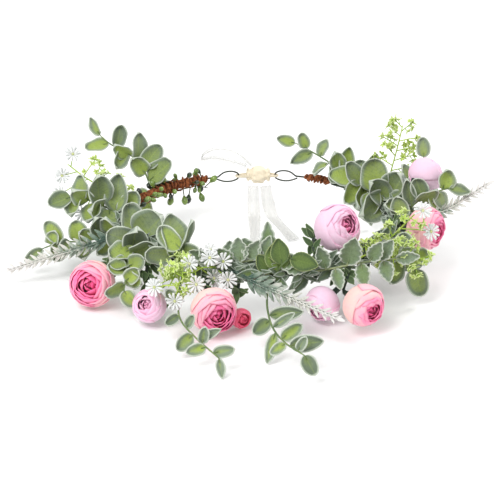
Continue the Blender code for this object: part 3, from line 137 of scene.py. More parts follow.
# Leaves: share along the stem, swing, lean, length, width, roll.
LEAVES = {
    "leaf_sprig_left_top": (
        (1.0, 125, 0, 14, 7, 0), (0.88, 195, 10, 16, 10, 10), (0.78, 80, 0, 15, 10, -10),
        (0.70, 255, 20, 13, 10, 0), (0.52, 75, 10, 18, 12, 30), (0.42, 50, 0, 19, 13, 0),
        (0.26, 40, 15, 21, 16, 0), (0.18, 15, -10, 21, 8, 10), (0.04, 270, FOOT_LEAN, FOOT_LENGTH, 10, 0),
        (0.11, 235, 20, 17, 11, 0), (0.60, 150, 20, 14, 11, 0), (0.34, 120, 15, 15, 12, 0)),
    "leaf_sprig_left_upper": (
        (0.25, 85, 10, 25, 15, 0), (0.52, 95, 20, 20, 16, 0), (0.80, 125, 10, 15, 14, 0),
        (1.0, 200, 10, 15, 12, 0), (0.88, 245, 25, 13, 11, 0), (0.60, 255, 30, 16, 13, 0),
        (0.35, 265, 40, 16, 14, 0), (0.10, 55, 15, 18, 13, 0), (0.18, 185, 40, 18, 14, 0),
        (0.44, 215, 45, 17, 14, 0), (0.70, 160, 30, 15, 13, 0)),
    "leaf_sprig_left_lower": (
        (0.38, 100, 20, 14, 13, 0), (0.60, 95, 10, 13, 12, 0), (0.80, 125, 0, 16, 10, 0),
        (0.90, 80, 30, 9, 9, 0), (0.82, 255, 10, 12, 11, 0), (0.52, 262, 20, 12, 11, 0),
        (1.0, 215, 0, 14, 7, 0), (0.20, 90, 30, 14, 12, 0), (0.26, 250, 25, 14, 12, 0),
        (0.68, 230, 35, 11, 10, 0), (0.45, 150, 40, 11, 10, 0)),
    "leaf_sprig_left_front": (
        (0.05, 100, -10, 22, 16, 0), (0.14, 45, 25, 25, 23, 0), (0.26, 160, 15, 19, 16, 0),
        (0.40, 200, 30, 15, 14, 0), (0.48, 15, 20, 18, 15, 0), (0.70, 170, 20, 12, 11, 0),
        (0.64, 20, 30, 12, 11, 0), (0.86, 40, 20, 11, 9, 0), (0.90, 195, 10, 13, 10, 0),
        (1.0, 300, 10, 11, 9, 0), (0.34, 75, 40, 17, 15, 0), (0.56, 225, 30, 12, 11, 0),
        (0.78, 330, 30, 12, 10, 0)),
    "leaf_sprig_centre_left": (
        (0.35, 92, 0, 27, 19, 0), (0.66, 65, 10, 21, 8, 50), (0.52, 320, 30, 17, 15, 0),
        (0.20, 170, 20, 17, 13, 0), (0.80, 120, -20, 18, 12, 0)),
    "leaf_sprig_hanging_left": (
        (0.40, 130, 20, 11, 8, 0), (0.50, 215, 10, 9, 7, 0), (0.72, 225, 10, 12, 10, 0),
        (0.78, 25, 20, 15, 6, 0), (0.87, 195, 10, 11, 8, 0), (0.94, 10, 10, 12, 8, 0),
        (1.0, 280, 0, 11, 6, 0), (0.64, 60, 20, 9, 6, 0), (0.83, 80, 20, 10, 7, 0)),
    "leaf_sprig_hanging_front": (
        (0.44, 15, 10, 20, 10, 0), (0.50, 220, 10, 12, 10, 0), (0.60, 35, 15, 15, 6, 0),
        (0.66, 255, 8, 18, 8, 0), (0.76, 35, 10, 14, 9, 0), (0.86, 8, 5, 19, 11, 0),
        (0.82, 215, 10, 10, 7, 0), (1.0, 300, 0, 12, 10, 0), (0.94, 60, 15, 9, 6, 0)),
    "leaf_sprig_right_back": (
        (1.0, 165, 0, 13, 8, 0), (0.78, 205, 10, 16, 9, 0), (0.68, 75, 10, 12, 9, 0),
        (0.56, 215, 20, 14, 10, 30), (0.48, 255, 20, 13, 11, 0), (0.34, 80, 10, 18, 10, 0),
        (0.20, 55, 0, 17, 11, 0), (0.26, 225, 20, 14, 12, 0), (0.12, 250, 30, 18, 16, 0),
        (0.04, 270, FOOT_LEAN, FOOT_LENGTH, 10, 0), (0.86, 110, 10, 11, 8, 0), (0.42, 120, 20, 14, 11, 0)),
    "leaf_sprig_right_inner": (
        (0.05, 65, 20, 21, 18, 0), (0.42, 92, 10, 23, 19, 0), (0.62, 80, -20, 24, 13, 0),
        (1.0, 165, 10, 17, 14, 0), (0.80, 125, 20, 18, 12, 40), (0.25, 215, 35, 27, 19, 0),
        (0.50, 262, 30, 18, 13, 0), (0.84, 235, 20, 18, 13, 0), (0.66, 245, 30, 19, 12, 0),
        (0.15, 135, 30, 20, 15, 0), (0.35, 300, 40, 17, 13, 0), (0.92, 95, 20, 14, 12, 0),
        (0.10, 15, 20, 18, 13, 0)),
    "leaf_sprig_right_outer": (
        (0.10, 110, 20, 15, 12, 0), (0.42, 95, 0, 18, 9, 20), (0.52, 35, 30, 17, 11, 30),
        (0.74, 300, 20, 13, 10, 0), (0.92, 75, 10, 13, 12, 0), (1.0, -8, 0, 14, 8, 0),
        (0.86, 285, 10, 11, 9, 0), (0.22, 20, 25, 15, 11, 0), (0.30, 155, 25, 15, 12, 0),
        (0.63, 115, 10, 13, 11, 0)),
    "leaf_sprig_right_top": (
        (1.0, 92, 0, 13, 9, 0), (0.86, 15, 0, 11, 8, 0), (0.72, 250, 10, 10, 9, 0),
        (0.60, 110, 20, 11, 9, 0)),
    "leaf_sprig_right_front": (
        (0.20, 20, 25, 18, 14, 0), (0.48, 345, 20, 20, 16, 0), (0.30, 200, 30, 18, 13, 0),
        (0.70, 95, 10, 16, 12, 0), (1.0, 285, 0, 17, 13, 0), (0.60, 220, 25, 16, 12, 0),
        (0.84, 30, 15, 14, 11, 0)),
}

ROSE_LEAVES = {
    "rose_leaf_sprig": (
        (0.45, 92, 10, 17, 15, 0), (0.70, 55, 15, 15, 11, 0), (1.0, -15, 25, 17, 11, 0),
        (0.25, 130, 20, 13, 10, 0)),
}

DUSTY_LEAVES = {
    "dusty_sprig_front": (
        (0.03, 150, 10, 17, 8, 0), (0.12, 175, 35, 13, 9, 0), (0.20, 80, -10, 14, 9, 0),
        (0.30, 140, 15, 13, 9, 0), (0.40, 95, 10, 14, 11, 0), (0.50, 60, 20, 14, 10, 0),
        (0.60, 120, 10, 14, 9, 0), (0.80, 92, 0, 22, 9, 0), (0.70, 70, 10, 15, 8, 0),
        (0.90, 300, 30, 15, 10, 0), (1.0, -10, 15, 16, 11, 0)),
    "dusty_sprig_right": (
        (0.20, 110, 15, 14, 9, 0), (0.45, 75, 20, 17, 13, 0), (0.60, 280, 20, 15, 9, 0),
        (0.70, 60, 20, 13, 9, 0), (0.80, 55, 10, 14, 9, 0), (0.86, 285, 10, 13, 9, 0),
        (0.32, 285, 20, 13, 8, 0), (1.0, 5, 0, 14, 8, 0)),
}

# Spikes: pairs of leaflets, their length at the root and at the tip, and the spike's swing.
SPIKES = {
    "white_spike_left": (13, 10.0, 5.0, 188),
    "white_spike_front": (12, 10.0, 5.0, -22),
    "white_spike_right": (11, 9.0, 4.5, 28),
}

# Twigs: share along the stem, swing, lean, length, head and its radius.
DAISY = ("daisy", 4.8)
SMALL_DAISY = ("daisy", 4.8 * 0.8)
TUFT = ("tuft", 1.8)
BERRY = ("berry", 2.3)
DAISY_TWIGS = {
    "daisy_spray_left": (
        (0.95, 80, 10, 8, DAISY), (0.85, 190, 10, 9, DAISY), (0.70, 205, 10, 19, DAISY),
        (0.55, 240, 20, 20, DAISY), (0.42, 250, 30, 13, DAISY), (0.62, 70, 0, 12, TUFT),
        (0.30, 80, 10, 14, TUFT), (0.76, 60, -10, 14, TUFT), (0.48, 110, 10, 10, TUFT),
        (0.22, 60, 20, 10, TUFT)),
    "daisy_spray_centre": (
        (0.10, 60, 30, 8, SMALL_DAISY), (0.30, 20, 30, 10, DAISY), (0.90, 250, 20, 9, DAISY),
        (0.97, 180, 10, 12, DAISY), (0.55, 110, 20, 7, TUFT), (0.62, 250, 30, 8, TUFT),
        (0.75, 150, 10, 9, TUFT), (0.82, 90, 10, 8, TUFT), (0.45, 200, 10, 9, TUFT)),
    "daisy_spray_middle": (
        (0.18, 40, 40, 6, DAISY), (0.50, 100, 30, 6, DAISY), (0.80, 150, 30, 7, DAISY),
        (0.95, 250, 40, 8, DAISY), (0.35, 290, 50, 12, DAISY), (0.65, 70, 0, 11, SMALL_DAISY)),
    "daisy_spray_right": (
        (0.97, 45, 10, 4, DAISY), (0.55, 355, 20, 18, DAISY), (0.20, 345, 25, 24, DAISY),
        (0.36, 110, 20, 8, TUFT), (0.46, 20, 30, 8, TUFT), (0.70, 120, 20, 7, TUFT),
        (0.82, 330, 20, 7, TUFT)),
}
FILLER_TWIGS = {
    "green_filler_right": (
        (0.16, 150, 20, 13, SMALL_DAISY), (0.24, 215, 30, 12, SMALL_DAISY), (0.32, 20, 30, 10, SMALL_DAISY),
        (0.38, 120, 10, 14, TUFT), (0.44, 55, 10, 15, TUFT), (0.50, 145, 0, 13, TUFT),
        (0.56, 40, 0, 13, TUFT), (0.62, 110, 25, 12, TUFT), (0.68, 60, 25, 12, TUFT),
        (0.74, 145, 10, 11, TUFT), (0.80, 35, 10, 11, TUFT), (0.86, 115, 10, 10, TUFT),
        (0.92, 60, 10, 9, TUFT), (0.97, 130, 10, 7, TUFT)),
    "green_filler_centre": (
        (0.20, 120, 30, 9, TUFT), (0.28, 30, 30, 10, TUFT), (0.38, 200, 30, 9, TUFT),
        (0.46, 70, 30, 11, TUFT), (0.54, 150, 20, 10, TUFT), (0.62, 10, 30, 10, TUFT),
        (0.70, 230, 20, 9, TUFT), (0.78, 90, 20, 9, TUFT), (0.86, 320, 20, 9, TUFT),
        (0.96, 180, 10, 8, TUFT)),
    "green_filler_front": (
        (0.16, 120, 20, 8, TUFT), (0.26, 60, 20, 11, TUFT), (0.35, 290, 30, 9, TUFT),
        (0.44, 100, 20, 11, TUFT), (0.52, 30, 30, 10, TUFT), (0.60, 300, 20, 10, TUFT),
        (0.68, 80, 20, 10, TUFT), (0.76, 340, 20, 10, TUFT), (0.84, 60, 10, 10, TUFT),
        (0.92, 290, 10, 9, TUFT), (0.97, 10, 10, 7, TUFT)),
}
BERRY_TWIGS = {
    "berries_back": (
        (0.12, 250, 10, 3, BERRY), (0.35, 280, 20, 4, BERRY), (0.55, 260, 10, 4, BERRY),
        (0.75, 290, 0, 4, BERRY), (0.92, 10, 0, 5, BERRY)),
    "berries_side": (
        (0.10, 20, 20, 3, BERRY), (0.30, 330, 30, 3, BERRY), (0.50, 10, 30, 3, BERRY),
        (0.70, 340, 30, 3, BERRY), (0.88, 320, 30, 3, BERRY)),
}

# name: radius, stem's ring angle and clock, where the stem passes, finish, pale side, tones.
# The pale side is an angle anticlockwise from the right, as seen from the front.
PINK_TONES = (0.24, 0.32, 0.42, 0.50, 0.60, 0.68, 0.76, 0.84, 0.92)
LILAC_TONES = (0.06, 0.10, 0.16, 0.22, 0.34, 0.50, 0.66, 0.80, 0.90)
ROSES = {
    "rose_left": (14.0, 206.0, -12, (-8, -8, -3), "pink", 25, PINK_TONES),
    "rose_centre": (13.5, 249.0, -20, (0, -9, -3), "pink", 110, PINK_TONES),
    "rose_left_bud": (10.5, 222.0, -30, (-2, -10, -5), "lilac", 90, LILAC_TONES),
    "rose_inner": (15.0, 293.0, 130, (-3, 3, 8), "lilac", 180, LILAC_TONES),
    "rose_front_back": (11.0, 299.0, -62, (2, -4, -5), "lilac", 180, LILAC_TONES),
    "rose_right_front": (13.0, 303.0, -15, (0, -12, 0), "pink", 150, PINK_TONES),
    "rose_right_top": (12.0, 5.0, 62, (3, 0, 7), "lilac", 60, LILAC_TONES),
    "rose_right": (13.5, 337.0, 70, (1, 1, 2), "pink", 200, PINK_TONES),
    "rose_small_bud": (6.0, 261.0, -55, (-1, -5, -5), "coral", 90, PINK_TONES),
}
LARGE_ROSES = ("rose_left", "rose_centre", "rose_inner", "rose_right_front", "rose_right")

# Layers of petals, outermost first: how many, greatest radius, rim radius, rim height, half spread, flare.
OUTER_LAYERS = (
    (3, 1.07, 0.97, 0.26, 76, 0.035),
    (3, 1.045, 0.90, 0.48, 70, 0.03),
    (4, 1.01, 0.78, 0.64, 60, 0.03),
    (4, 0.955, 0.64, 0.75, 56, 0.025),
)
CLOSED_LAYERS = (
    (3, 1.06, 0.84, 0.46, 84, 0.02),
    (3, 1.03, 0.66, 0.68, 80, 0.02),
    (3, 0.99, 0.50, 0.80, 78, 0.02),
    (3, 0.94, 0.38, 0.84, 76, 0.02),
)
INNER_LAYERS = (
    (4, 0.86, 0.52, 0.80, 56, 0.02),
    (3, 0.74, 0.40, 0.79, 66, 0.02),
    (3, 0.60, 0.27, 0.76, 66, 0.015),
    (3, 0.44, 0.15, 0.74, 66, 0.01),
    (2, 0.28, 0.03, 0.74, 92, 0.0),
)

PETAL_COLOURS = {
    "pink": ((0.91, 0.57, 0.52), (0.92, 0.43, 0.53), (0.92, 0.22, 0.42), (0.88, 0.085, 0.27)),
    "lilac": ((0.82, 0.58, 0.72), (0.82, 0.50, 0.66), (0.86, 0.36, 0.56), (0.86, 0.17, 0.36)),
    "coral": ((0.90, 0.24, 0.34), (0.88, 0.17, 0.28), (0.86, 0.10, 0.20), (0.74, 0.03, 0.10)),
}


# ---------------------------------------------------------------- places and directions

def seen(swing, lean=0.0):
    """Direction at an angle anticlockwise from the right, leaning towards the front."""
    turn = math.radians(swing)
    tip = math.radians(lean)
    flat = RIGHT * math.cos(turn) + UP * math.sin(turn)
    return (flat * math.cos(tip) + TOWARD * math.sin(tip)).normalized()


def ring_point(angle):
    """Centre of the ring's wire at an angle in degrees."""
    turn = math.radians(angle)
    return Vector((RING_HALF_WIDTH * math.cos(turn), RING_HALF_DEPTH * math.sin(turn), RING_LIFT))


def ring_outward(angle):
    """Level direction away from the ring's middle, square to the wire."""
    turn = math.radians(angle)
    return Vector((math.cos(turn) / RING_HALF_WIDTH, math.sin(turn) / RING_HALF_DEPTH, 0.0)).normalized()


def wrap_radius(angle):
    """Radius of whatever covers the wire at an angle."""
    turn = angle if angle >= 90.0 else angle + 360.0
    for start, stop, radius in WRAPS.values():
        if start <= turn <= stop:
            return radius
    return max(VINE_RADIUS, TAPE_RADIUS)


def seat(angle, clock, radius):
    """Place for a round stem beside the wrap: clock 0 is outside the ring, 90 is on top."""
    away = wrap_radius(angle) + SEAT_GAP + radius
    turn = math.radians(clock)
    return ring_point(angle) + away * (math.cos(turn) * ring_outward(angle) + Vector((0, 0, math.sin(turn))))


def length_of(points):
    """Length of a polyline."""
    return sum((b - a).length for a, b in zip(points, points[1:]))


def at_distance(points, distance):
    """Point at a distance along a polyline."""
    left = distance
    for a, b in zip(points, points[1:]):
        run = (b - a).length
        if left <= run:
            return a.lerp(b, left / run)
        left -= run
    return points[-1].copy()


def resample(points, step):
    """Points at equal distances along a fine polyline."""
    total = length_of(points)
    count = max(2, round(total / step))
    return [at_distance(points, total * i / count) for i in range(count + 1)]


def curve_through(points, step):
    """Evenly stepped points on a smooth curve through the given ones."""
    ends = [points[0] * 2 - points[1]] + list(points) + [points[-1] * 2 - points[-2]]
    fine = []
    for before, start, stop, after in zip(ends, ends[1:], ends[2:], ends[3:]):
        count = max(2, int((stop - start).length / (step * 0.25)))
        for i in range(count):
            t = i / count
            fine.append(0.5 * (2 * start + (stop - before) * t
                               + (2 * before - 5 * start + 4 * stop - after) * t * t
                               + (3 * start - before - 3 * stop + after) * t ** 3))
    fine.append(points[-1].copy())
    return resample(fine, step)


def tangents(points):
    """Unit direction of a polyline at each of its points."""
    last = len(points) - 1
    return [(points[min(i + 1, last)] - points[max(i - 1, 0)]).normalized() for i in range(last + 1)]


def frames_along(points, hint=Vector((0.31, 0.17, 0.93))):
    """Frames along a route that don't twist about it, with Z along the route."""
    normal = hint
    frames = []
    for point, along in zip(points, tangents(points)):
        normal = (normal - along * normal.dot(along)).normalized()
        across = along.cross(normal)
        turned = Matrix((normal, across, along)).transposed().to_4x4()
        frames.append(Matrix.Translation(point) @ turned)
    return frames


def stand_on(centre, way):
    """Matrix that stands a shape made on +Z at a place, pointing a way."""
    return Matrix.Translation(centre) @ way.to_track_quat("Z", "Y").to_matrix().to_4x4()


# ---------------------------------------------------------------- stems and what grows on them

TURNS = (0, 10, -10, 20, -20, 32, -32, 46, -46, 62, -62, 80, -80, 100, -100, 125, -125, 150, 180)
OPENINGS = (0, 20, 40, -20)
SIZES = (1.0, 0.82, 0.66, 0.5, 0.36)
TRIES = sorted((abs(turn) / 10 + abs(opening) / 12 + (1 - size) * 22, turn, opening, size)
               for turn in TURNS for opening in OPENINGS for size in SIZES)


def shifted(way, axis, turn, opening, roll):
    """A leaf's direction and face after turning it about the stem and opening it from the stem."""
    hinge = axis.cross(way)
    if hinge.length < 1e-3:
        hinge = axis.orthogonal()
    opened = Matrix.Rotation(math.radians(opening), 3, hinge) @ way
    along = (Matrix.Rotation(math.radians(turn), 3, axis) @ opened).normalized()
    look = TOWARD if abs(along.dot(TOWARD)) < 0.9 else UP
    face = (look - along * look.dot(along)).normalized()
    face = Matrix.Rotation(math.radians(roll), 3, along) @ face
    return along, face


class Sprig:
    """Where a stem runs and where its packed solid carries each leaf or twig."""

    def __init__(self, name, radius, shares):
        self.name = name
        self.radius = radius
        angle, clock, run, offsets = ROUTES[name]
        steps = max(2, abs(round(run / 4)))
        points = [seat(angle + run * i / steps, clock, radius) for i in range(steps + 1)]
        root = points[-1]
        points += [root + Vector(offset) for offset in offsets]
        self.route = curve_through(points, 2.5)
        self.total = length_of(self.route)
        self.marks = self.spread(sorted(min(max(share * self.total, 2.4), self.total - 2.4)
                                        for share in shares))
        corners = [FROM_METRES @ vert.co for vert in frame["nodes"][name].data.vertices]
        self.corners = KDTree(len(corners))
        for index, corner in enumerate(corners):
            self.corners.insert(corner, index)
        self.corners.balance()

    @staticmethod
    def spread(marks):
        """Keep stations far enough apart for each to have its own stretch of stem."""
        spaced = []
        for mark in marks:
            if spaced and mark - spaced[-1] < 0.6:
                continue
            if spaced and mark - spaced[-1] < 2.7:
                mark = spaced[-1] + 2.7
            spaced.append(mark)
        return spaced

    def station(self, share):
        """Base point and stem direction of a leaf at a share of the stem's length."""
        if share >= 1.0:
            behind = at_distance(self.route, self.total - 3.0)
            return self.route[-1].copy(), (self.route[-1] - behind).normalized()
        mark = min(self.marks, key=lambda place: abs(place - share * self.total))
        ahead = at_distance(self.route, min(mark + 1.5, self.total))
        behind = at_distance(self.route, max(mark - 1.5, 0.0))
        return at_distance(self.route, mark), (ahead - behind).normalized()

    def has_corner(self, point):
        """Whether the packed solid has a corner at a point."""
        return self.corners.find(point)[2] < 0.12

    def leaf(self, share, swing, lean, length, width, roll, station, curl):
        """Base, direction, face, length and width of a leaf as it stands on the packed solid."""
        base, axis = self.station(share)
        part_way, breadth, cup = station
        for _, turn, opening, size in TRIES:
            along, face = shifted(seen(swing, lean), axis, turn, opening, roll)
            start = base + along * (self.radius * 0.7)
            run = length * size
            wide = width * size
            middle = start + along * (run * part_way) - face * (curl * run * part_way * part_way)
            side = along.cross(face) * (breadth * wide / 2)
            rim = face * (cup * wide)
            if self.has_corner(middle + side + rim) and self.has_corner(middle - side + rim):
                return start, along, face, run, wide
        raise RuntimeError("the packed solid of " + self.name + " has no such leaf")

    def twig(self, share, swing, lean, length, head):
        """Points of a twig and the direction of its head as they stand on the packed solid."""
        base, axis = self.station(share)
        kind, head_radius = head
        for _, turn, opening, size in TRIES:
            along, _ = shifted(seen(swing, lean), axis, turn, opening, 0)
            start = base + along * (self.radius * 0.7 + 0.5)
            run = length * size
            count = 2 if run > 10 else 1
            points = [start + along * (run * i / count) - Vector((0, 0, 0.1 * run * (i / count) ** 2))
                      for i in range(count + 1)]
            way = (points[-1] - points[-2]).normalized()
            ring = frames_along(points)[-1]
            corner = ring @ Vector((math.sqrt(0.5) * TWIG_RADIUS, math.sqrt(0.5) * TWIG_RADIUS, 0.0))
            if self.has_corner(corner) and self.has_corner(2 * points[-1] - corner):
                turned = way if kind != "daisy" else (way * 0.35 + TOWARD).normalized()
                return [base + along * self.radius * 0.5] + points, turned, head_radius
        raise RuntimeError("the packed solid of " + self.name + " has no such twig")


LEAF_STATION = (0.36, 0.94, 0.10)
DUSTY_STATION = (0.40, 1.0, 0.06)
LEAFLET_STATION = (0.30, 1.0, 0.0)
LEAF_GAP = 0.10
WAVE_PHASE = 6.3
DAISY_PETALS = 22
VINE_BERRIES = 22
RIBBON_SHEET = 0.16

# The stage: the camera's lens and its aim off the ring's centre, and the gap under the crown.
CAMERA_LENS = 108.8
AIM_ACROSS = 0.0079
AIM_UP = 0.0146
FLOOR_GAP = 0.0006


# ---------------------------------------------------------------- meshes

def tube(mesh, points, radii, sides=8, squeeze=1.0):
    """A closed round tube along a route, swept by extruding its first ring."""
    frames = frames_along(points)
    shape = Matrix.Diagonal((1.0, squeeze, 1.0, 1.0))
    placed = [spot @ Matrix.Scale(radius, 4) @ shape for spot, radius in zip(frames, radii)]
    made = bmesh.ops.create_circle(mesh, cap_ends=False, segments=sides, radius=1.0, matrix=placed[0])
    verts = made["verts"]
    edges = list({edge for vert in verts for edge in vert.link_edges})
    bmesh.ops.contextual_create(mesh, geom=edges)
    for before, after in zip(placed, placed[1:]):
        grown = bmesh.ops.extrude_edge_only(mesh, edges=edges)["geom"]
        verts = {item for item in grown if isinstance(item, bmesh.types.BMVert)}
        edges = [item for item in grown if isinstance(item, bmesh.types.BMEdge)
                 and item.verts[0] in verts and item.verts[1] in verts]
        bmesh.ops.transform(mesh, matrix=after @ before.inverted(), verts=list(verts))
    bmesh.ops.contextual_create(mesh, geom=edges)


def bead(mesh, centre, way, radius, stretch, point=0.0):
    """A round or teardrop bead whose long axis points a way."""
    made = bmesh.ops.create_uvsphere(mesh, u_segments=10, v_segments=8, radius=1.0)
    for vert in made["verts"]:
        narrow = 1.0 - point * max(0.0, -vert.co.z)
        x, y, z = vert.co
        vert.co = Vector((x * radius * narrow, y * radius * narrow, z * radius * stretch))
    bmesh.ops.transform(mesh, matrix=stand_on(centre, way), verts=made["verts"])
    return made["verts"]


def bloom_place(name):
    """Centre and direction of a bloom, from the swivel that it turns on."""
    swivel = next(joint for joint in frame["joints"] if joint["name"] == name + "_swivel")
    return FROM_METRES @ Vector(swivel["pos_m"]), Vector(swivel["axis"]).normalized()


def near_bloom(point, room):
    """Whether a point lies inside or close to any bloom."""
    return any((point - bloom_place(name)[0]).length < ROSES[name][0] * 1.08 + room for name in ROSES)


def square_to(along, target):
    """The direction nearest to a target that stands square to another."""
    return (target - along * target.dot(along)).normalized()


def out_from_wire(angle, clock):
    """Direction away from the ring's wire, at a clock angle in radians round it."""
    return math.cos(clock) * ring_outward(angle) + math.sin(clock) * Vector((0, 0, 1))


class Sheets:
    """A mesh of thin blades, with the numbers that their finish reads kept on its points."""

    def __init__(self):
        self.mesh = bmesh.new()
        self.rim = self.mesh.verts.layers.float.new("rim_distance")
        self.share = self.mesh.verts.layers.float.new("tip_share")
        self.across = self.mesh.verts.layers.float.new("across")
        self.tint = self.mesh.verts.layers.float.new("tint")
        self.uv = self.mesh.loops.layers.uv.new("blade_uv")

    def blade(self, base, along, face, length, width, outline, tint, steps=(12, 6), cup=0.12, curl=0.10,
              fold=0.0, wave=0.0, phase=0.0):
        """One leaf or strap petal from a grid: along is its length, face its upper side."""
        made = bmesh.ops.create_grid(self.mesh, x_segments=steps[0], y_segments=steps[1], size=1.0,
                                     calc_uvs=True)
        across = face.cross(along)
        for vert in made["verts"]:
            share = (1.0 - math.cos(math.pi * (vert.co.x + 1.0) / 2)) / 2
            side = vert.co.y
            half = outline(share) * width / 2
            lift = cup * width * side * side * min(1.0, 6 * share * (1.2 - share))
            lift -= fold * half * (1.0 - abs(side))
            lift += wave * width * math.sin(phase + 9.0 * share) * side ** 3
            vert[self.rim] = min((1.0 - abs(side)) * half, (1.0 - share) * length)
            vert[self.share] = share
            vert[self.across] = side
            vert[self.tint] = tint
            vert.co = (base + along * (length * share) + across * (side * half)
                       + face * (lift - curl * length * share * share))
        return made["verts"]


def finish_piece(name, mesh, materials, body="root", replaces=(), thickness=0.0, closed=True):
    """Turn a mesh in millimetres into a piece that rides on a body and stands for its solids."""
    if closed:
        bmesh.ops.recalc_face_normals(mesh, faces=mesh.faces[:])
    bmesh.ops.transform(mesh, matrix=TO_METRES, verts=mesh.verts[:])
    data = bpy.data.meshes.new(name)
    mesh.to_mesh(data)
    mesh.free()
    data.shade_smooth()
    for material in materials:
        data.materials.append(material)
    piece = bpy.data.objects.new(name, data)
    bpy.context.scene.collection.objects.link(piece)
    if thickness:
        shell = piece.modifiers.new("Thickness", "SOLIDIFY")
        shell.thickness = thickness * 0.001
        shell.offset = -1.0
        shell.use_even_offset = True
        if len(materials) > 1:
            shell.material_offset = 1
    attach(piece, body)
    for node in replaces:
        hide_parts(node)
    return piece


# ---------------------------------------------------------------- outlines

def oval_outline(share):
    """Rounded leaf that narrows to a short stalk."""
    stalk = 0.10
    if share < 0.04:
        return stalk
    return max(stalk * (1 - share), math.sin(math.pi * min(1.0, share) ** 0.86) ** 0.62)


def round_outline(share):
    """Broad leaf with a rounded end."""
    return max(0.10 * (1 - share), (1.0 - abs(2.0 * share ** 0.86 - 1.0) ** 2.2) ** 0.5)


def slim_outline(share):
    """Lance-shaped blade with a fine tip."""
    return max(0.05, math.sin(math.pi * share ** 0.8) ** 0.9)


def toothed_outline(share):
    """Leaf with a lobed, toothed edge."""
    teeth = 0.80 + 0.20 * abs(math.sin(share * math.pi * 5.0))
    return max(0.06, math.sin(math.pi * share ** 0.78) ** 0.75 * teeth)


def serrated_outline(share):
    """Broad leaf with a finely cut edge."""
    teeth = 0.94 + 0.06 * math.sin(share * math.pi * 26.0)
    return max(0.06, math.sin(math.pi * share ** 0.85) ** 0.7 * teeth)


def strap_outline(share):
    """Petal that widens towards a blunt notched end."""
    return 0.30 + 0.70 * min(1.0, share * 1.6) if share < 0.93 else 0.82


# ---------------------------------------------------------------- finishes

class Finish:
    """A Principled material with a few helpers for laying its nodes."""

    def __init__(self, name, roughness, **settings):
        self.material = bpy.data.materials.new(name)
        self.material.use_nodes = True
        self.tree = self.material.node_tree
        self.shader = self.tree.nodes["Principled BSDF"]
        self.shader.inputs["Roughness"].default_value = roughness
        for socket, value in settings.items():
            self.shader.inputs[socket.replace("_", " ")].default_value = value
        self.coords = self.tree.nodes.new("ShaderNodeTexCoord")

    def link(self, source, target):
        """Join two sockets."""
        self.tree.links.new(source, target)

    def attribute(self, name):
        """Number kept on the piece's points."""
        node = self.tree.nodes.new("ShaderNodeAttribute")
        node.attribute_name = name
        return node.outputs["Fac"]

    def noise(self, scale, detail=3.0, rough=0.55, stretch=None, vector=None):
        """Noise on the piece's own coordinates, from 0 to 1."""
        node = self.tree.nodes.new("ShaderNodeTexNoise")
        node.inputs["Scale"].default_value = scale
        node.inputs["Detail"].default_value = detail
        node.inputs["Roughness"].default_value = rough
        source = vector or self.coords.outputs["Object"]
        if stretch:
            mapping = self.tree.nodes.new("ShaderNodeMapping")
            mapping.inputs["Scale"].default_value = stretch
            self.link(source, mapping.inputs["Vector"])
            source = mapping.outputs["Vector"]
        self.link(source, node.inputs["Vector"])
        return node.outputs["Fac"]

    def math(self, kind, a, b=0.0):
        """Arithmetic on sockets or numbers."""
        node = self.tree.nodes.new("ShaderNodeMath")
        node.operation = kind
        for socket, value in zip(node.inputs, (a, b)):
            if isinstance(value, (int, float)):
                socket.default_value = value
            else:
                self.link(value, socket)
        return node.outputs["Value"]

    def band(self, value, low, high, start=0.0, stop=1.0):
        """Smooth step of a value between two limits."""
        node = self.tree.nodes.new("ShaderNodeMapRange")
        node.interpolation_type = "SMOOTHSTEP"
        self.link(value, node.inputs["Value"])
        node.inputs["From Min"].default_value = low
        node.inputs["From Max"].default_value = high
        node.inputs["To Min"].default_value = start
        node.inputs["To Max"].default_value = stop
        return node.outputs["Result"]

    def mix(self, factor, first, second, blend="MIX"):
        """Blend of two colours."""
        node = self.tree.nodes.new("ShaderNodeMix")
        node.data_type = "RGBA"
        node.blend_type = blend
        if isinstance(factor, (int, float)):
            node.inputs[0].default_value = factor
        else:
            self.link(factor, node.inputs[0])
        for socket, value in ((node.inputs[6], first), (node.inputs[7], second)):
            if isinstance(value, tuple):
                socket.default_value = (*value, 1.0)
            else:
                self.link(value, socket)
        return node.outputs[2]

    def ramp(self, factor, stops):
        """Colour ramp through (place, colour) stops."""
        node = self.tree.nodes.new("ShaderNodeValToRGB")
        ramp = node.color_ramp
        while len(ramp.elements) < len(stops):
            ramp.elements.new(1.0)
        for element, (place, colour) in zip(ramp.elements, stops):
            element.position = place
            element.color = (*colour, 1.0)
        self.link(factor, node.inputs["Fac"])
        return node.outputs["Color"]

    def colour(self, socket):
        """Use a colour as the surface's own."""
        self.link(socket, self.shader.inputs["Base Color"])

    def bump(self, height, strength, distance):
        """Raise the surface by a height in metres times the distance."""
        node = self.tree.nodes.new("ShaderNodeBump")
        node.inputs["Strength"].default_value = strength
        node.inputs["Distance"].default_value = distance
        self.link(height, node.inputs["Height"])
        self.link(node.outputs["Normal"], self.shader.inputs["Normal"])


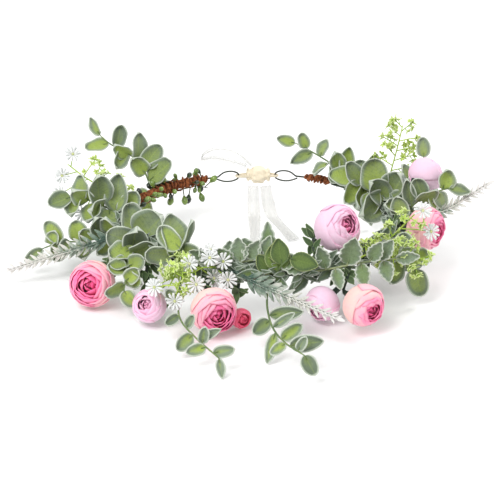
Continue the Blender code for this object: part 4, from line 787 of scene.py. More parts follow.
def leaf_finish(name, fresh, grey, rim, deep, rim_width):
    """Flocked leaf: yellower at the base, greyer outwards, with a thin pale rim."""
    finish = Finish(name, 0.78, Sheen_Weight=0.25, Sheen_Roughness=0.5, Specular_IOR_Level=0.25)
    patches = finish.noise(170.0, 3.0)
    share = finish.attribute("tip_share")
    tint = finish.attribute("tint")
    amount = finish.math("ADD", finish.math("MULTIPLY", share, 0.55), finish.math("MULTIPLY", patches, 0.7))
    amount = finish.math("ADD", amount, finish.math("MULTIPLY", tint, 0.75))
    inward = finish.band(finish.attribute("rim_distance"), 0.3, 3.2, 0.50, -0.25)
    amount = finish.math("ADD", amount, inward)
    tone = finish.mix(finish.band(amount, 0.45, 1.45), fresh, grey)
    scatter = finish.math("FRACT", finish.math("MULTIPLY", tint, 7.0))
    tone = finish.mix(finish.band(scatter, 0.45, 1.0, 0.0, 0.55), tone, deep)
    tone = finish.mix(finish.band(finish.noise(420.0, 2.0), 0.50, 0.75, 0.0, 0.35), tone, deep)
    middle = finish.math("ABSOLUTE", finish.attribute("across"))
    tone = finish.mix(finish.band(middle, 0.0, 0.10, 0.35, 0.0), tone, fresh)
    ribs = finish.math("SINE", finish.math("MULTIPLY", finish.math("SUBTRACT", share, finish.math(
        "MULTIPLY", middle, 0.22)), 62.0))
    tone = finish.mix(finish.band(ribs, 0.72, 1.0, 0.0, 0.22), tone, deep)
    speckle = finish.noise(2600.0, 2.0)
    tone = finish.mix(finish.band(speckle, 0.45, 0.75, 0.0, 0.22), tone, rim)
    edge = finish.math("ADD", finish.attribute("rim_distance"), finish.band(speckle, 0.3, 0.7, -0.15, 0.35))
    finish.colour(finish.mix(finish.band(edge, rim_width * 0.25, rim_width * 1.25), rim, tone))
    finish.bump(finish.math("ADD", speckle, finish.math("MULTIPLY", patches, 2.0)), 0.35, 0.0004)
    return finish.material


def petal_finish(name, colours):
    """Printed petal cloth: pale to deep by tone, darker on the rim, with fine lengthwise crinkles."""
    finish = Finish(name, 0.62, Sheen_Weight=0.15, Sheen_Roughness=0.4, Specular_IOR_Level=0.3)
    uv = finish.tree.nodes.new("ShaderNodeUVMap")
    uv.uv_map = "blade_uv"
    crinkle = finish.noise(5.0, 4.0, 0.6, (9.0, 1.6, 1.0), uv.outputs["UV"])
    cloud = finish.noise(110.0, 2.0)
    tone = finish.math("ADD", finish.attribute("tint"), finish.band(cloud, 0.3, 0.7, -0.10, 0.10))
    tone = finish.math("ADD", tone, finish.band(finish.attribute("tip_share"), 0.35, 1.0, -0.06, 0.05))
    pale, light, strong, deep = colours
    body = finish.ramp(tone, ((0.0, pale), (0.40, light), (0.75, strong), (1.0, deep)))
    body = finish.mix(finish.band(crinkle, 0.45, 0.8, 0.0, 0.16), body, strong)
    rim = finish.band(finish.attribute("rim_distance"), 0.08, 0.45, 0.55, 0.0)
    finish.colour(finish.mix(rim, body, finish.mix(0.3, strong, deep)))
    weave = finish.noise(2200.0, 2.0)
    finish.bump(finish.math("ADD", crinkle, finish.math("MULTIPLY", weave, 0.25)), 0.30, 0.0005)
    return finish.material


def stem_finish(name, first, second, roughness=0.5):
    """Moulded or taped stem with a slow change of green and fine ribs."""
    finish = Finish(name, roughness, Specular_IOR_Level=0.4)
    slow = finish.noise(140.0, 2.0)
    finish.colour(finish.mix(finish.band(slow, 0.35, 0.65), first, second))
    finish.bump(finish.noise(1400.0, 2.0), 0.25, 0.0003)
    return finish.material


def two_tone_finish(name, low, high, roughness, spread=(0.35, 0.65), scale=300.0):
    """A plain moulded finish with mottling and a soft tooth."""
    finish = Finish(name, roughness, Specular_IOR_Level=0.35)
    slow = finish.noise(scale, 3.0)
    finish.colour(finish.mix(finish.band(slow, spread[0], spread[1]), low, high))
    finish.bump(finish.noise(scale * 6, 2.0), 0.2, 0.0002)
    return finish.material


def spike_finish(name):
    """Leaflets that go from blue-green at the root to white at the tip."""
    finish = Finish(name, 0.7, Sheen_Weight=0.2, Specular_IOR_Level=0.25)
    place = finish.math("ADD", finish.attribute("tint"),
                        finish.math("MULTIPLY", finish.attribute("tip_share"), 0.22))
    place = finish.math("ADD", place, finish.band(finish.noise(260.0, 2.0), 0.3, 0.7, -0.10, 0.10))
    body = finish.ramp(place, ((0.0, (0.030, 0.065, 0.050)), (0.28, (0.07, 0.13, 0.095)),
                               (0.50, (0.26, 0.33, 0.26)), (0.70, (0.62, 0.62, 0.56)),
                               (1.0, (0.74, 0.72, 0.70))))
    finish.colour(body)
    finish.bump(finish.noise(1800.0, 2.0), 0.2, 0.0003)
    return finish.material


def paper_finish(name):
    """Twisted rust-brown paper, darker in its creases as painted shade, with paler fibres."""
    finish = Finish(name, 0.85, Specular_IOR_Level=0.2)
    crease_relief_and_shade = finish.noise(420.0, 4.0, 0.65)
    fibres = finish.noise(1500.0, 3.0, 0.6)
    # Painted shade: where the crease noise sinks the bump it also darkens the paper to near black.
    body = finish.mix(finish.band(crease_relief_and_shade, 0.36, 0.64), (0.085, 0.022, 0.009), (0.33, 0.105, 0.036))
    finish.colour(finish.mix(finish.band(fibres, 0.5, 0.8, 0.0, 0.5), body, (0.46, 0.20, 0.09)))
    finish.bump(finish.math("ADD", crease_relief_and_shade, finish.math("MULTIPLY", fibres, 0.4)), 0.6, 0.0006)
    return finish.material


def berry_finish(name, low, high):
    """Glossy moulded berry, mottled between a darker and a lighter tone."""
    finish = Finish(name, 0.28, Coat_Weight=0.35, Coat_Roughness=0.2)
    slow = finish.noise(260.0, 2.0)
    finish.colour(finish.mix(finish.band(slow, 0.40, 0.62), low, high))
    finish.bump(finish.noise(900.0, 2.0), 0.1, 0.0003)
    return finish.material


def organza_finish(name, low, high, alpha):
    """Sheer woven ribbon with fine threads across and along it."""
    finish = Finish(name, 0.45, Sheen_Weight=0.4, Sheen_Roughness=0.3, Alpha=alpha)
    uv = finish.tree.nodes.new("ShaderNodeUVMap")
    uv.uv_map = "blade_uv"
    threads = []
    for direction, count in (("X", 170.0), ("Y", 60.0)):
        wave = finish.tree.nodes.new("ShaderNodeTexWave")
        wave.bands_direction = direction
        wave.inputs["Scale"].default_value = count
        wave.inputs["Distortion"].default_value = 0.4
        finish.link(uv.outputs["UV"], wave.inputs["Vector"])
        threads.append(wave.outputs["Fac"])
    weave = finish.math("MAXIMUM", threads[0], threads[1])
    finish.colour(finish.mix(weave, low, high))
    finish.bump(weave, 0.15, 0.0002)
    return finish.material


def tape_finish(name):
    """Crepe stem tape, near black-green, with stretched wrinkles round the stems."""
    finish = Finish(name, 0.72, Specular_IOR_Level=0.3)
    crepe = finish.noise(520.0, 4.0, 0.6)
    body = finish.mix(finish.band(crepe, 0.38, 0.66), (0.008, 0.014, 0.008), (0.045, 0.075, 0.035))
    green = finish.band(finish.noise(120.0, 2.0), 0.5, 0.7, 0.0, 0.5)
    finish.colour(finish.mix(green, body, (0.10, 0.13, 0.04)))
    finish.bump(crepe, 0.5, 0.0006)
    return finish.material


def floor_finish(name, shade):
    """Pale matt tabletop with a barely visible grain."""
    finish = Finish(name, 0.9, Specular_IOR_Level=0.1)
    grain = finish.band(finish.noise(3.0, 2.0), 0.3, 0.7)
    finish.colour(finish.mix(grain, tuple(shade), tuple(s * 0.99 for s in shade)))
    return finish.material


# ---------------------------------------------------------------- settings

def number(name, description, default, low, high, subtype="NONE", unit="NONE"):
    """A number that a user may change."""
    return bpy.props.FloatProperty(name=name, description=description, default=default, min=low, max=high,
                                   subtype=subtype, unit=unit)


def tint(name, description, default):
    """A colour that a user may change."""
    return bpy.props.FloatVectorProperty(name=name, description=description, default=default, size=3,
                                         min=0.0, max=1.0, subtype="COLOR")


class CrownLeafSettings(bpy.types.PropertyGroup):
    """Sizes and colours of the leaves."""

    thickness: number("Thickness", "Thickness of a leaf", 0.00055, 0.0002, 0.0015, "DISTANCE", "LENGTH")
    rim_width: number("Rim", "Width of a leaf's pale rim", 0.00075, 0.0, 0.002, "DISTANCE", "LENGTH")
    cup: number("Cupping", "Rise of a leaf's sides as a share of its width", 0.22, 0.0, 0.4, "FACTOR")
    fresh: tint("Fresh Green", "Colour near a leaf's base", (0.32, 0.42, 0.075))
    grey: tint("Grey Green", "Colour towards a leaf's tip", (0.21, 0.265, 0.18))
    rim: tint("Rim Colour", "Colour of the pale rim", (0.50, 0.55, 0.46))
    under: tint("Underside", "Colour of a leaf's underside", (0.20, 0.26, 0.195))


class CrownPetalSettings(bpy.types.PropertyGroup):
    """Sizes of the rose petals."""

    thickness: number("Thickness", "Thickness of a petal", 0.0004, 0.0001, 0.001, "DISTANCE", "LENGTH")
    swell: number("Fullness", "Size of a bloom against its solid", 1.0, 0.8, 1.05, "FACTOR")


class CrownRibbonSettings(bpy.types.PropertyGroup):
    """Sizes and colours of the ribbon."""

    width: number("Width", "Cut width of the ribbon", 0.0105, 0.0101, 0.02, "DISTANCE", "LENGTH")
    sheerness: number("Cover", "How opaque the ribbon's tails are", 0.38, 0.05, 1.0, "FACTOR")
    cream: tint("Cream", "Colour of the gathered ribbon", (0.84, 0.74, 0.56))


class CrownStageSettings(bpy.types.PropertyGroup):
    """Light and floor round the crown."""

    floor: tint("Floor", "Colour of the tabletop", (0.92, 0.92, 0.92))
    fill: number("Fill Light", "Strength of the light from all round", 0.80, 0.0, 3.0)
    key: number("Key Light", "Power of the large lamp", 13.0, 0.0, 60.0, "POWER", "POWER")


# ---------------------------------------------------------------- operators

def vary(name):
    """Repeatable small differences between like pieces."""
    return random.Random(name)


def stalk_into(sprig, share, base, along, length):
    """Route of the stalk from a stem into the foot of a leaf."""
    return [sprig.station(share)[0], base, base + along * length * 0.22]


def taper(route, radius):
    """Radii of a stem that thins towards its tip."""
    last = len(route) - 1
    return [radius * (1.0 - 0.35 * i / last) for i in range(last)] + [radius * 0.4]


def stem_piece(name, sprig, stalks, material, radius):
    """The stem of a sprig with a thin stalk into each leaf."""
    mesh = bmesh.new()
    tube(mesh, sprig.route, taper(sprig.route, radius), 7)
    for points in stalks:
        tube(mesh, points, [0.46, 0.40, 0.22], 6)
    return finish_piece(name + "_stem", mesh, [material], replaces=[name])


def leafy_sprigs(table, station, gap, finishes, thickness, stem, add_leaf):
    """The leaves and stem of every sprig in a table. add_leaf lays one leaf, with the sprig's own draws."""
    for name, leaves in table.items():
        sprig = Sprig(name, STEM_RADIUS, [leaf[0] for leaf in leaves if leaf[0] < 1.0])
        chance = vary(name)
        sheets = Sheets()
        stalks = []
        for leaf in leaves:
            base, along, face, length, width = sprig.leaf(*leaf, station, gap)
            stalks.append(stalk_into(sprig, leaf[0], base, along, length))
            add_leaf(name, sheets, chance, base, along, face, length, width)
        finish_piece(name + "_leaves", sheets.mesh, finishes, replaces=[name],
                     thickness=thickness, closed=False)
        stem_piece(name, sprig, stalks, stem, STEM_RADIUS)


def rolled(chance, limit, along, face):
    """A leaf's upper side, rolled about its length by up to some degrees either way."""
    return Matrix.Rotation(math.radians(chance.uniform(-limit, limit)), 3, along) @ face


class CrownLeafSprigs(bpy.types.Operator):
    """Make the sprigs of rimmed, flocked leaves."""

    bl_idname = "crown.leaf_sprigs"
    bl_label = "Leaf Sprigs"

    def execute(self, context):
        chosen = context.scene.crown_leaves
        top = leaf_finish("flocked_leaf", tuple(chosen.fresh), tuple(chosen.grey), tuple(chosen.rim),
                          (0.070, 0.105, 0.060), chosen.rim_width * 1000)
        under = leaf_finish("flocked_leaf_underside", tuple(c * 1.05 for c in chosen.under),
                            tuple(chosen.under), tuple(chosen.rim), (0.13, 0.17, 0.13),
                            chosen.rim_width * 1000)
        stem = stem_finish("olive_stem", (0.10, 0.16, 0.06), (0.20, 0.26, 0.10))

        def add_leaf(name, sheets, chance, base, along, face, length, width):
            roll, bend, breadth = (8, 0.2, 0.88) if name.startswith("leaf_sprig_hanging") else (42, 1.0, 1.05)
            face = rolled(chance, roll, along, face)
            outline = round_outline if width > 0.62 * length else oval_outline
            sheets.blade(base, along, face, length, width * breadth, outline, chance.random(),
                         (14, 8), chosen.cup * chance.uniform(0.5, 1.4), bend * chance.uniform(-0.10, 0.34),
                         0.12, 0.07, chance.uniform(0, WAVE_PHASE))

        leafy_sprigs(LEAVES, LEAF_STATION, LEAF_GAP, [top, under],
                     chosen.thickness * 1000, stem, add_leaf)
        return {"FINISHED"}


class CrownRoseLeaves(bpy.types.Operator):
    """Make the dark printed rose leaves."""

    bl_idname = "crown.rose_leaves"
    bl_label = "Rose Leaves"

    def execute(self, context):
        top = leaf_finish("rose_leaf", (0.16, 0.24, 0.05), (0.075, 0.12, 0.045), (0.30, 0.36, 0.14),
                          (0.03, 0.06, 0.02), 0.4)
        stem = stem_finish("rose_leaf_stem", (0.05, 0.09, 0.03), (0.10, 0.15, 0.05))

        def add_leaf(_, sheets, chance, base, along, face, length, width):
            sheets.blade(base, along, face, length * 1.05, width * 1.1, serrated_outline, chance.random(),
                         (40, 8), 0.10, 0.12, 0.10, 0.04, chance.uniform(0, WAVE_PHASE))

        leafy_sprigs(ROSE_LEAVES, LEAF_STATION, LEAF_GAP, [top], 0.4, stem, add_leaf)
        return {"FINISHED"}


class CrownDustySprigs(bpy.types.Operator):
    """Make the pale sprigs of toothed leaves."""

    bl_idname = "crown.dusty_sprigs"
    bl_label = "Dusty Sprigs"

    def execute(self, context):
        top = leaf_finish("dusty_leaf", (0.17, 0.25, 0.10), (0.20, 0.26, 0.18), (0.50, 0.55, 0.46),
                          (0.08, 0.12, 0.06), 0.9)
        stem = stem_finish("dusty_stem", (0.16, 0.20, 0.09), (0.30, 0.34, 0.18))

        def add_leaf(_, sheets, chance, base, along, face, length, width):
            face = rolled(chance, 20, along, face)
            sheets.blade(base, along, face, length * 1.05, width * 1.12, toothed_outline, chance.random(),
                         (30, 8), 0.16, 0.06, 0.18, 0.05, chance.uniform(0, WAVE_PHASE))

        leafy_sprigs(DUSTY_LEAVES, DUSTY_STATION, 0.0, [top], 0.45, stem, add_leaf)
        return {"FINISHED"}


class CrownWhiteSpikes(bpy.types.Operator):
    """Make the herringbone spikes with white tips."""

    bl_idname = "crown.white_spikes"
    bl_label = "White-Tipped Spikes"

    def execute(self, context):
        blade = spike_finish("white_tipped_leaflet")
        for name, (pairs, long, short, swing) in SPIKES.items():
            shares = [0.22 + 0.74 * i / (pairs - 1) for i in range(pairs)]
            sprig = Sprig(name, SPIKE_STEM_RADIUS, shares)
            chance = vary(name)
            sheets = Sheets()
            for i, share in enumerate(shares):
                length = long + (short - long) * i / (pairs - 1)
                for side in (1, -1):
                    base, along, face, run, width = sprig.leaf(share, swing + side * 42, 5, length,
                                                               length * 0.34, 0, LEAFLET_STATION, 0.0)
                    sheets.blade(base, along, face, run, width * 0.8, slim_outline, 0.1 + 0.8 * share,
                                 (6, 3), 0.12, 0.10)
                    for _ in range(2):
                        lean = chance.uniform(-50, 60)
                        step = chance.uniform(-0.02, 0.05)
                        start, axis = sprig.station(min(0.98, share))
                        spot = start + axis * (sprig.total * step)
                        way = seen(swing + side * chance.uniform(22, 60), lean)
                        look = square_to(way, TOWARD)
                        sheets.blade(spot, way, look, run * chance.uniform(0.55, 0.85), width * 0.5,
                                     slim_outline, 0.05 + 0.8 * share, (5, 2), 0.12, 0.10)
            base, along, face, run, width = sprig.leaf(1.0, swing, 0, short * 1.2, short * 0.5, 0,
                                                       LEAFLET_STATION, 0.0)
            sheets.blade(base, along, face, run, width, slim_outline, 0.95, (6, 3), 0.12, 0.05)
            last = len(sprig.route) - 1
            for i in range(last):
                here = sprig.route[i]
                ahead = (sprig.route[i + 1] - here).normalized()
                for turn in range(0, 360, 90):
                    about = Matrix.Rotation(math.radians(45 + turn), 3, ahead)
                    side = about @ ahead.orthogonal().normalized()
                    sheets.blade(here + side * 0.35, (ahead + side * 0.25).normalized(), side, 4.0, 1.2,
                                 slim_outline, 0.9 * i / last, (3, 2), 0.0, -0.08)
            finish_piece(name + "_leaflets", sheets.mesh, [blade], replaces=[name],
                         thickness=0.3, closed=False)
            mesh = bmesh.new()
            tube(mesh, sprig.route, taper(sprig.route, SPIKE_STEM_RADIUS * 0.8), 6)
            stem = stem_finish(name + "_stem_finish", (0.05, 0.10, 0.08), (0.16, 0.24, 0.18))
            finish_piece(name + "_stem", mesh, [stem], replaces=[name])
        return {"FINISHED"}


def daisy_head(petals, hearts, centre, way, radius, chance):
    """White strap petals round a small green heart."""
    stand = stand_on(centre, way)
    count = DAISY_PETALS
    size = radius * 1.15
    for i in range(count):
        turn = 4 * math.pi * (i + chance.uniform(-0.2, 0.2)) / count
        lift = chance.uniform(0.05, 0.30) + (0.30 if i * 2 >= count else 0.0)
        along = (stand.to_3x3() @ Vector((math.cos(turn), math.sin(turn), lift))).normalized()
        face = square_to(along, stand.to_3x3() @ Vector((0, 0, 1)))
        petals.blade(centre + along * size * 0.16, along, face, size * chance.uniform(0.76, 0.94),
                     size * 0.24, strap_outline, chance.random(), (5, 2), -0.10,
                     chance.uniform(-0.05, 0.14))
    bead(hearts, centre + way * 0.35, way, size * 0.13, 0.8)
    for i in range(5):
        turn = 2 * math.pi * i / 5
        spot = stand @ Vector((math.cos(turn) * size * 0.12, math.sin(turn) * size * 0.12, size * 0.12))
        bead(hearts, spot, way, size * 0.05, 1.2)


def floret(leaves, stems, centre, way, radius, chance):
    """A fan of tiny fresh green leaflets on short stalks."""
    stand = stand_on(centre, way).to_3x3()
    for i in range(6):
        turn = 2 * math.pi * (i + chance.uniform(-0.2, 0.2)) / 6
        along = (stand @ Vector((math.cos(turn), math.sin(turn), chance.uniform(0.2, 1.0)))).normalized()
        face = square_to(along, stand @ Vector((0, 0, 1)))
        leaves.blade(centre, along, face, radius * chance.uniform(1.5, 2.3), radius * 1.05, oval_outline,
                     chance.random(), (5, 3), 0.15, 0.08)
    bead(stems, centre + way * radius * 0.4, way, radius * 0.34, 1.2)


def grow_twigs(name, twigs, petals, hearts, leaves, stems, chance):
    """All the twigs of one spray with the daisies and florets at their ends."""
    sprig = Sprig(name, STEM_RADIUS, [twig[0] for twig in twigs])
    tube(stems, sprig.route, taper(sprig.route, STEM_RADIUS * 0.85), 6)
    for twig in twigs:
        points, way, radius = sprig.twig(*twig)
        tube(stems, points, [TWIG_RADIUS * 0.8] * (len(points) - 1) + [TWIG_RADIUS * 0.6], 5)
        if twig[4][0] == "daisy":
            daisy_head(petals, hearts, points[-1] + way * 0.9, way, radius, chance)
            bead(stems, points[-1] + way * 0.1, way, radius * 0.26, 0.9)
        else:
            floret(leaves, stems, points[-1], way, radius, chance)
            run = length_of(points)
            for share in (0.3, 0.5, 0.68, 0.85):
                here = at_distance(points, run * share)
                side = (seen(chance.uniform(0, 360), chance.uniform(-30, 50)) + way * 0.6).normalized()
                tip = here + side * radius * chance.uniform(1.2, 2.0)
                tube(stems, [here, tip], [TWIG_RADIUS * 0.7, TWIG_RADIUS * 0.5], 5)
                floret(leaves, stems, tip, side, radius * chance.uniform(0.65, 0.95), chance)
    return sprig


class CrownDaisySprays(bpy.types.Operator):
    """Make the daisy sprays on fresh green stems."""

    bl_idname = "crown.daisy_sprays"
    bl_label = "Daisy Sprays"

    def execute(self, context):
        # Painted shade: the daisy petals are white, and their grey body, darker at the base by the heart and on
        # some petals, stands in for shade.
        white = leaf_finish("daisy_petal", (0.60, 0.64, 0.58), (0.72, 0.74, 0.73), (0.86, 0.86, 0.86),
                            (0.58, 0.62, 0.60), 0.28)
        heart = two_tone_finish("daisy_heart", (0.50, 0.56, 0.20), (0.72, 0.74, 0.42), 0.6)
        fresh = leaf_finish("fresh_leaflet", (0.64, 0.76, 0.14), (0.48, 0.63, 0.12), (0.74, 0.82, 0.42),
                            (0.30, 0.46, 0.07), 0.25)
        stem = stem_finish("fresh_stem", (0.30, 0.46, 0.06), (0.46, 0.60, 0.10), 0.45)
        for group, slot in ((DAISY_TWIGS, "daisy_white"), (FILLER_TWIGS, "filler_green")):
            for name, twigs in group.items():
                chance = vary(name)
                petals = Sheets()
                leaves = Sheets()
                hearts = bmesh.new()
                stems = bmesh.new()
                grow_twigs(name, twigs, petals, hearts, leaves, stems, chance)
                if petals.mesh.verts:
                    finish_piece(name + "_petals", petals.mesh, [white], replaces=[name],
                                 thickness=0.25, closed=False)
                    finish_piece(name + "_hearts", hearts, [heart], replaces=[name])
                if leaves.mesh.verts:
                    finish_piece(name + "_florets", leaves.mesh, [fresh], replaces=[name],
                                 thickness=0.3, closed=False)
                finish_piece(name + "_stems", stems, [stem], replaces=[name])
        return {"FINISHED"}


class CrownBerries(bpy.types.Operator):
    """Make the teardrop berries along the vine."""

    bl_idname = "crown.berries"
    bl_label = "Berries"

    def execute(self, context):
        green = berry_finish("green_berry", (0.10, 0.17, 0.03), (0.20, 0.30, 0.06))
        dark = berry_finish("dark_berry", (0.006, 0.012, 0.006), (0.03, 0.06, 0.02))
        for name, twigs in BERRY_TWIGS.items():
            sprig = Sprig(name, STEM_RADIUS, [twig[0] for twig in twigs])
            chance = vary(name)
            light = bmesh.new()
            black = bmesh.new()
            stalks = bmesh.new()
            tube(stalks, sprig.route, taper(sprig.route, STEM_RADIUS * 0.7), 6)
            for i, twig in enumerate(twigs):
                points, way, radius = sprig.twig(*twig)
                tube(stalks, points, [TWIG_RADIUS * 0.8] * len(points), 5)
                batch = black if i % 3 == 2 else light
                bead(batch, points[-1] + way * radius * 1.3, way, radius, 1.55, 0.5)
            start, stop, cover = WRAPS["vine_wrap_back_left"]
            low, high = (start + 2, 140.0) if name == "berries_back" else (141.0, stop - 2)
            for _ in range(VINE_BERRIES):
                angle = chance.uniform(low, high)
                clock = math.radians(chance.uniform(-90, 250))
                out = out_from_wire(angle, clock)
                drift = (out + seen(chance.uniform(0, 360)) * 0.5).normalized()
                root = ring_point(angle) + out * cover * 0.7
                spot = ring_point(angle) + out * (cover + 1.2) + drift * 0.8
                tube(stalks, [root, spot], [0.5, 0.4], 5)
                batch = black if chance.random() < 0.35 else light
                bead(batch, spot + drift * 1.2, drift, chance.uniform(1.5, 2.1), 1.5, 0.5)
            finish_piece(name + "_green", light, [green], replaces=[name])
            finish_piece(name + "_dark", black, [dark], replaces=[name])
            stem = stem_finish(name + "_stalk", (0.06, 0.09, 0.03), (0.12, 0.16, 0.05))
            finish_piece(name + "_stalks", stalks, [stem], replaces=[name])
        return {"FINISHED"}


def wound_strand(mesh, start, stop, cover, strand, pitch, chance, lead=0.0, stray=0.35):
    """A strand wound round the wire with uneven turns."""
    arc = math.radians(stop - start) * RING_HALF_WIDTH
    turns = arc / pitch
    steps = int(turns * 9)
    points = []
    wander = [chance.uniform(-1, 1) for _ in range(int(turns) + 3)]
    for i in range(steps + 1):
        share = i / steps
        turn = share * turns
        part = turn - int(turn)
        sway = wander[int(turn)] * (1 - part) + wander[int(turn) + 1] * part
        angle = start + (stop - start) * share + math.degrees(sway * pitch * 0.30 / RING_HALF_WIDTH)
        angle = min(max(angle, start), stop)
        clock = 2 * math.pi * turn + lead
        out = out_from_wire(angle, clock)
        points.append(ring_point(angle) + out * (cover + stray * sway))
    uneven = [strand * chance.uniform(0.82, 1.15) for _ in points[2:]]
    tube(mesh, points, [strand * 0.6] + uneven + [strand * 0.6], 6, 0.8)


class CrownVine(bpy.types.Operator):
    """Wind the rust-brown paper vine round the ring's back."""

    bl_idname = "crown.vine"
    bl_label = "Paper Vine"

    def execute(self, context):
        paper = paper_finish("twisted_paper")
        for name in ("vine_wrap_back_left", "vine_wrap_back_right"):
            start, stop, cover = WRAPS[name]
            chance = vary(name)
            mesh = bmesh.new()
            core = [ring_point(start + (stop - start) * i / 30) for i in range(31)]
            tube(mesh, core, [cover * 0.55] * 31, 10)
            wound_strand(mesh, start, stop, cover * 0.66, 1.10, 2.6, chance)
            wound_strand(mesh, start + 1, stop - 1, cover * 0.92, 0.95, 4.6, chance, 2.0, 0.7)
            wound_strand(mesh, start + 2, stop - 2, cover * 1.08, 0.60, 8.7, chance, 4.0, 1.0)
            finish_piece(name + "_paper", mesh, [paper], replaces=[name])
        return {"FINISHED"}


class CrownTapes(bpy.types.Operator):
    """Make the taped bundle of stems round the ring."""

    bl_idname = "crown.tapes"
    bl_label = "Taped Stems"

    def execute(self, context):
        tape = tape_finish("crepe_tape")
        needle = leaf_finish("undergrowth_leaf", (0.16, 0.24, 0.06), (0.13, 0.18, 0.12), (0.40, 0.46, 0.38),
                             (0.045, 0.07, 0.04), 0.5)
        for name in ("stem_tape_left", "stem_tape_front", "stem_tape_right"):
            start, stop, cover = WRAPS[name]
            chance = vary(name)
            mesh = bmesh.new()
            steps = int((stop - start) / 1.6)
            for strand in range(5):
                lead = 2 * math.pi * strand / 5
                points = []
                for i in range(steps + 1):
                    angle = start + (stop - start) * i / steps
                    clock = lead + math.radians(angle * 5.0)
                    out = out_from_wire(angle, clock)
                    points.append(ring_point(angle) + out * cover * 0.5)
                tube(mesh, points, [cover * 0.42 * chance.uniform(0.92, 1.05) for _ in points], 8)
            wound_strand(mesh, start, stop, cover * 0.84, 0.42, 6.0, chance, 0.0, 0.1)
            finish_piece(name + "_bundle", mesh, [tape], replaces=[name])
            sheets = Sheets()
            angle = start + 2.0
            while angle < stop - 2.0:
                angle += chance.uniform(0.28, 0.62)
                clock = math.radians(chance.uniform(-70, 200))
                out = out_from_wire(angle, clock)
                run = (ring_point(angle + 1) - ring_point(angle)).normalized() * chance.choice((-1, 1))
                along = (out * chance.uniform(0.35, 1.1) + run).normalized()
                face = square_to(along, TOWARD)
                root = ring_point(angle) + out * cover * 0.8
                long = chance.uniform(7.0, 15.0)
                if angle > 400.0 or near_bloom(root, 3.0) or near_bloom(root + along * long, 1.0):
                    continue
                broad = chance.uniform(0.20, 0.50)
                sheets.blade(root, along, face, long, long * broad, slim_outline, chance.random(), (8, 4),
                             0.15, chance.uniform(-0.1, 0.25), 0.12)
            finish_piece(name + "_undergrowth", sheets.mesh, [needle], replaces=[name],
                         thickness=0.35, closed=False)
        return {"FINISHED"}


class CrownWire(bpy.types.Operator):
    """Make the ring's wire and its two eyelets."""

    bl_idname = "crown.wire"
    bl_label = "Ring Wire"

    def execute(self, context):
        coat = stem_finish("wire_coat", (0.018, 0.024, 0.016), (0.05, 0.06, 0.04), 0.45)
        mesh = bmesh.new()
        count = int((RING_END - RING_START) / 3.0)
        ring = [ring_point(RING_START + (RING_END - RING_START) * i / count) for i in range(count + 1)]
        tube(mesh, ring, [WIRE_RADIUS * 0.8] * len(ring), 8)
        for angle in (RING_START, RING_END):
            root = ring_point(angle)
            way = (knot_centre() - root).normalized()
            up = Vector((0.0, 0.0, 1.0)) * EYELET_HEIGHT / 2
            long = EYELET_LENGTH
            points = [root, root + way * long * 0.30 + up * 0.85, root + way * long * 0.65 + up,
                      root + way * long * 0.94 + up * 0.6, root + way * long,
                      root + way * long * 0.94 - up * 0.6, root + way * long * 0.65 - up,
                      root + way * long * 0.30 - up * 0.95, root - way - up * 0.4]
            route = curve_through(points, 1.0)
            tube(mesh, route, [WIRE_RADIUS * 0.7] * len(route), 8)
        finish_piece("ring_wire", mesh, [coat], replaces=["core_wire"])
        return {"FINISHED"}


def knot_centre():
    """Middle of the ribbon knot, between the two eyelets."""
    return Vector((KNOT_X, RING_HALF_DEPTH, RING_LIFT))


def ribbon_strip(name, steps, across, width, pleats, material, body, node):
    """A strip of ribbon through steps from the knot, pleated so that it lies narrower than its cut."""
    route = curve_through([knot_centre() + Vector(step) for step in steps], 1.6)
    sheets = Sheets()
    last = len(route) - 1
    made = bmesh.ops.create_grid(sheets.mesh, x_segments=last, y_segments=10, size=1.0, calc_uvs=True)
    ways = tangents(route)
    for vert in made["verts"]:
        spot = round((vert.co.x + 1) / 2 * last)
        along = ways[spot]
        side = square_to(along, across)
        lift = along.cross(side)
        reach = vert.co.y
        share = spot / last
        gather = 0.74 + 0.10 * math.sin(share * 7.0)
        ripple = pleats * math.sin(reach * 5.0 + share * 4.0) * (1.0 - 0.3 * share)
        vert[sheets.share] = share
        vert[sheets.rim] = (1 - abs(reach)) * width / 2
        vert.co = route[spot] + side * (reach * width / 2 * gather) + lift * ripple
    piece = finish_piece(name, sheets.mesh, [material], body, [node],
                         thickness=RIBBON_SHEET, closed=False)


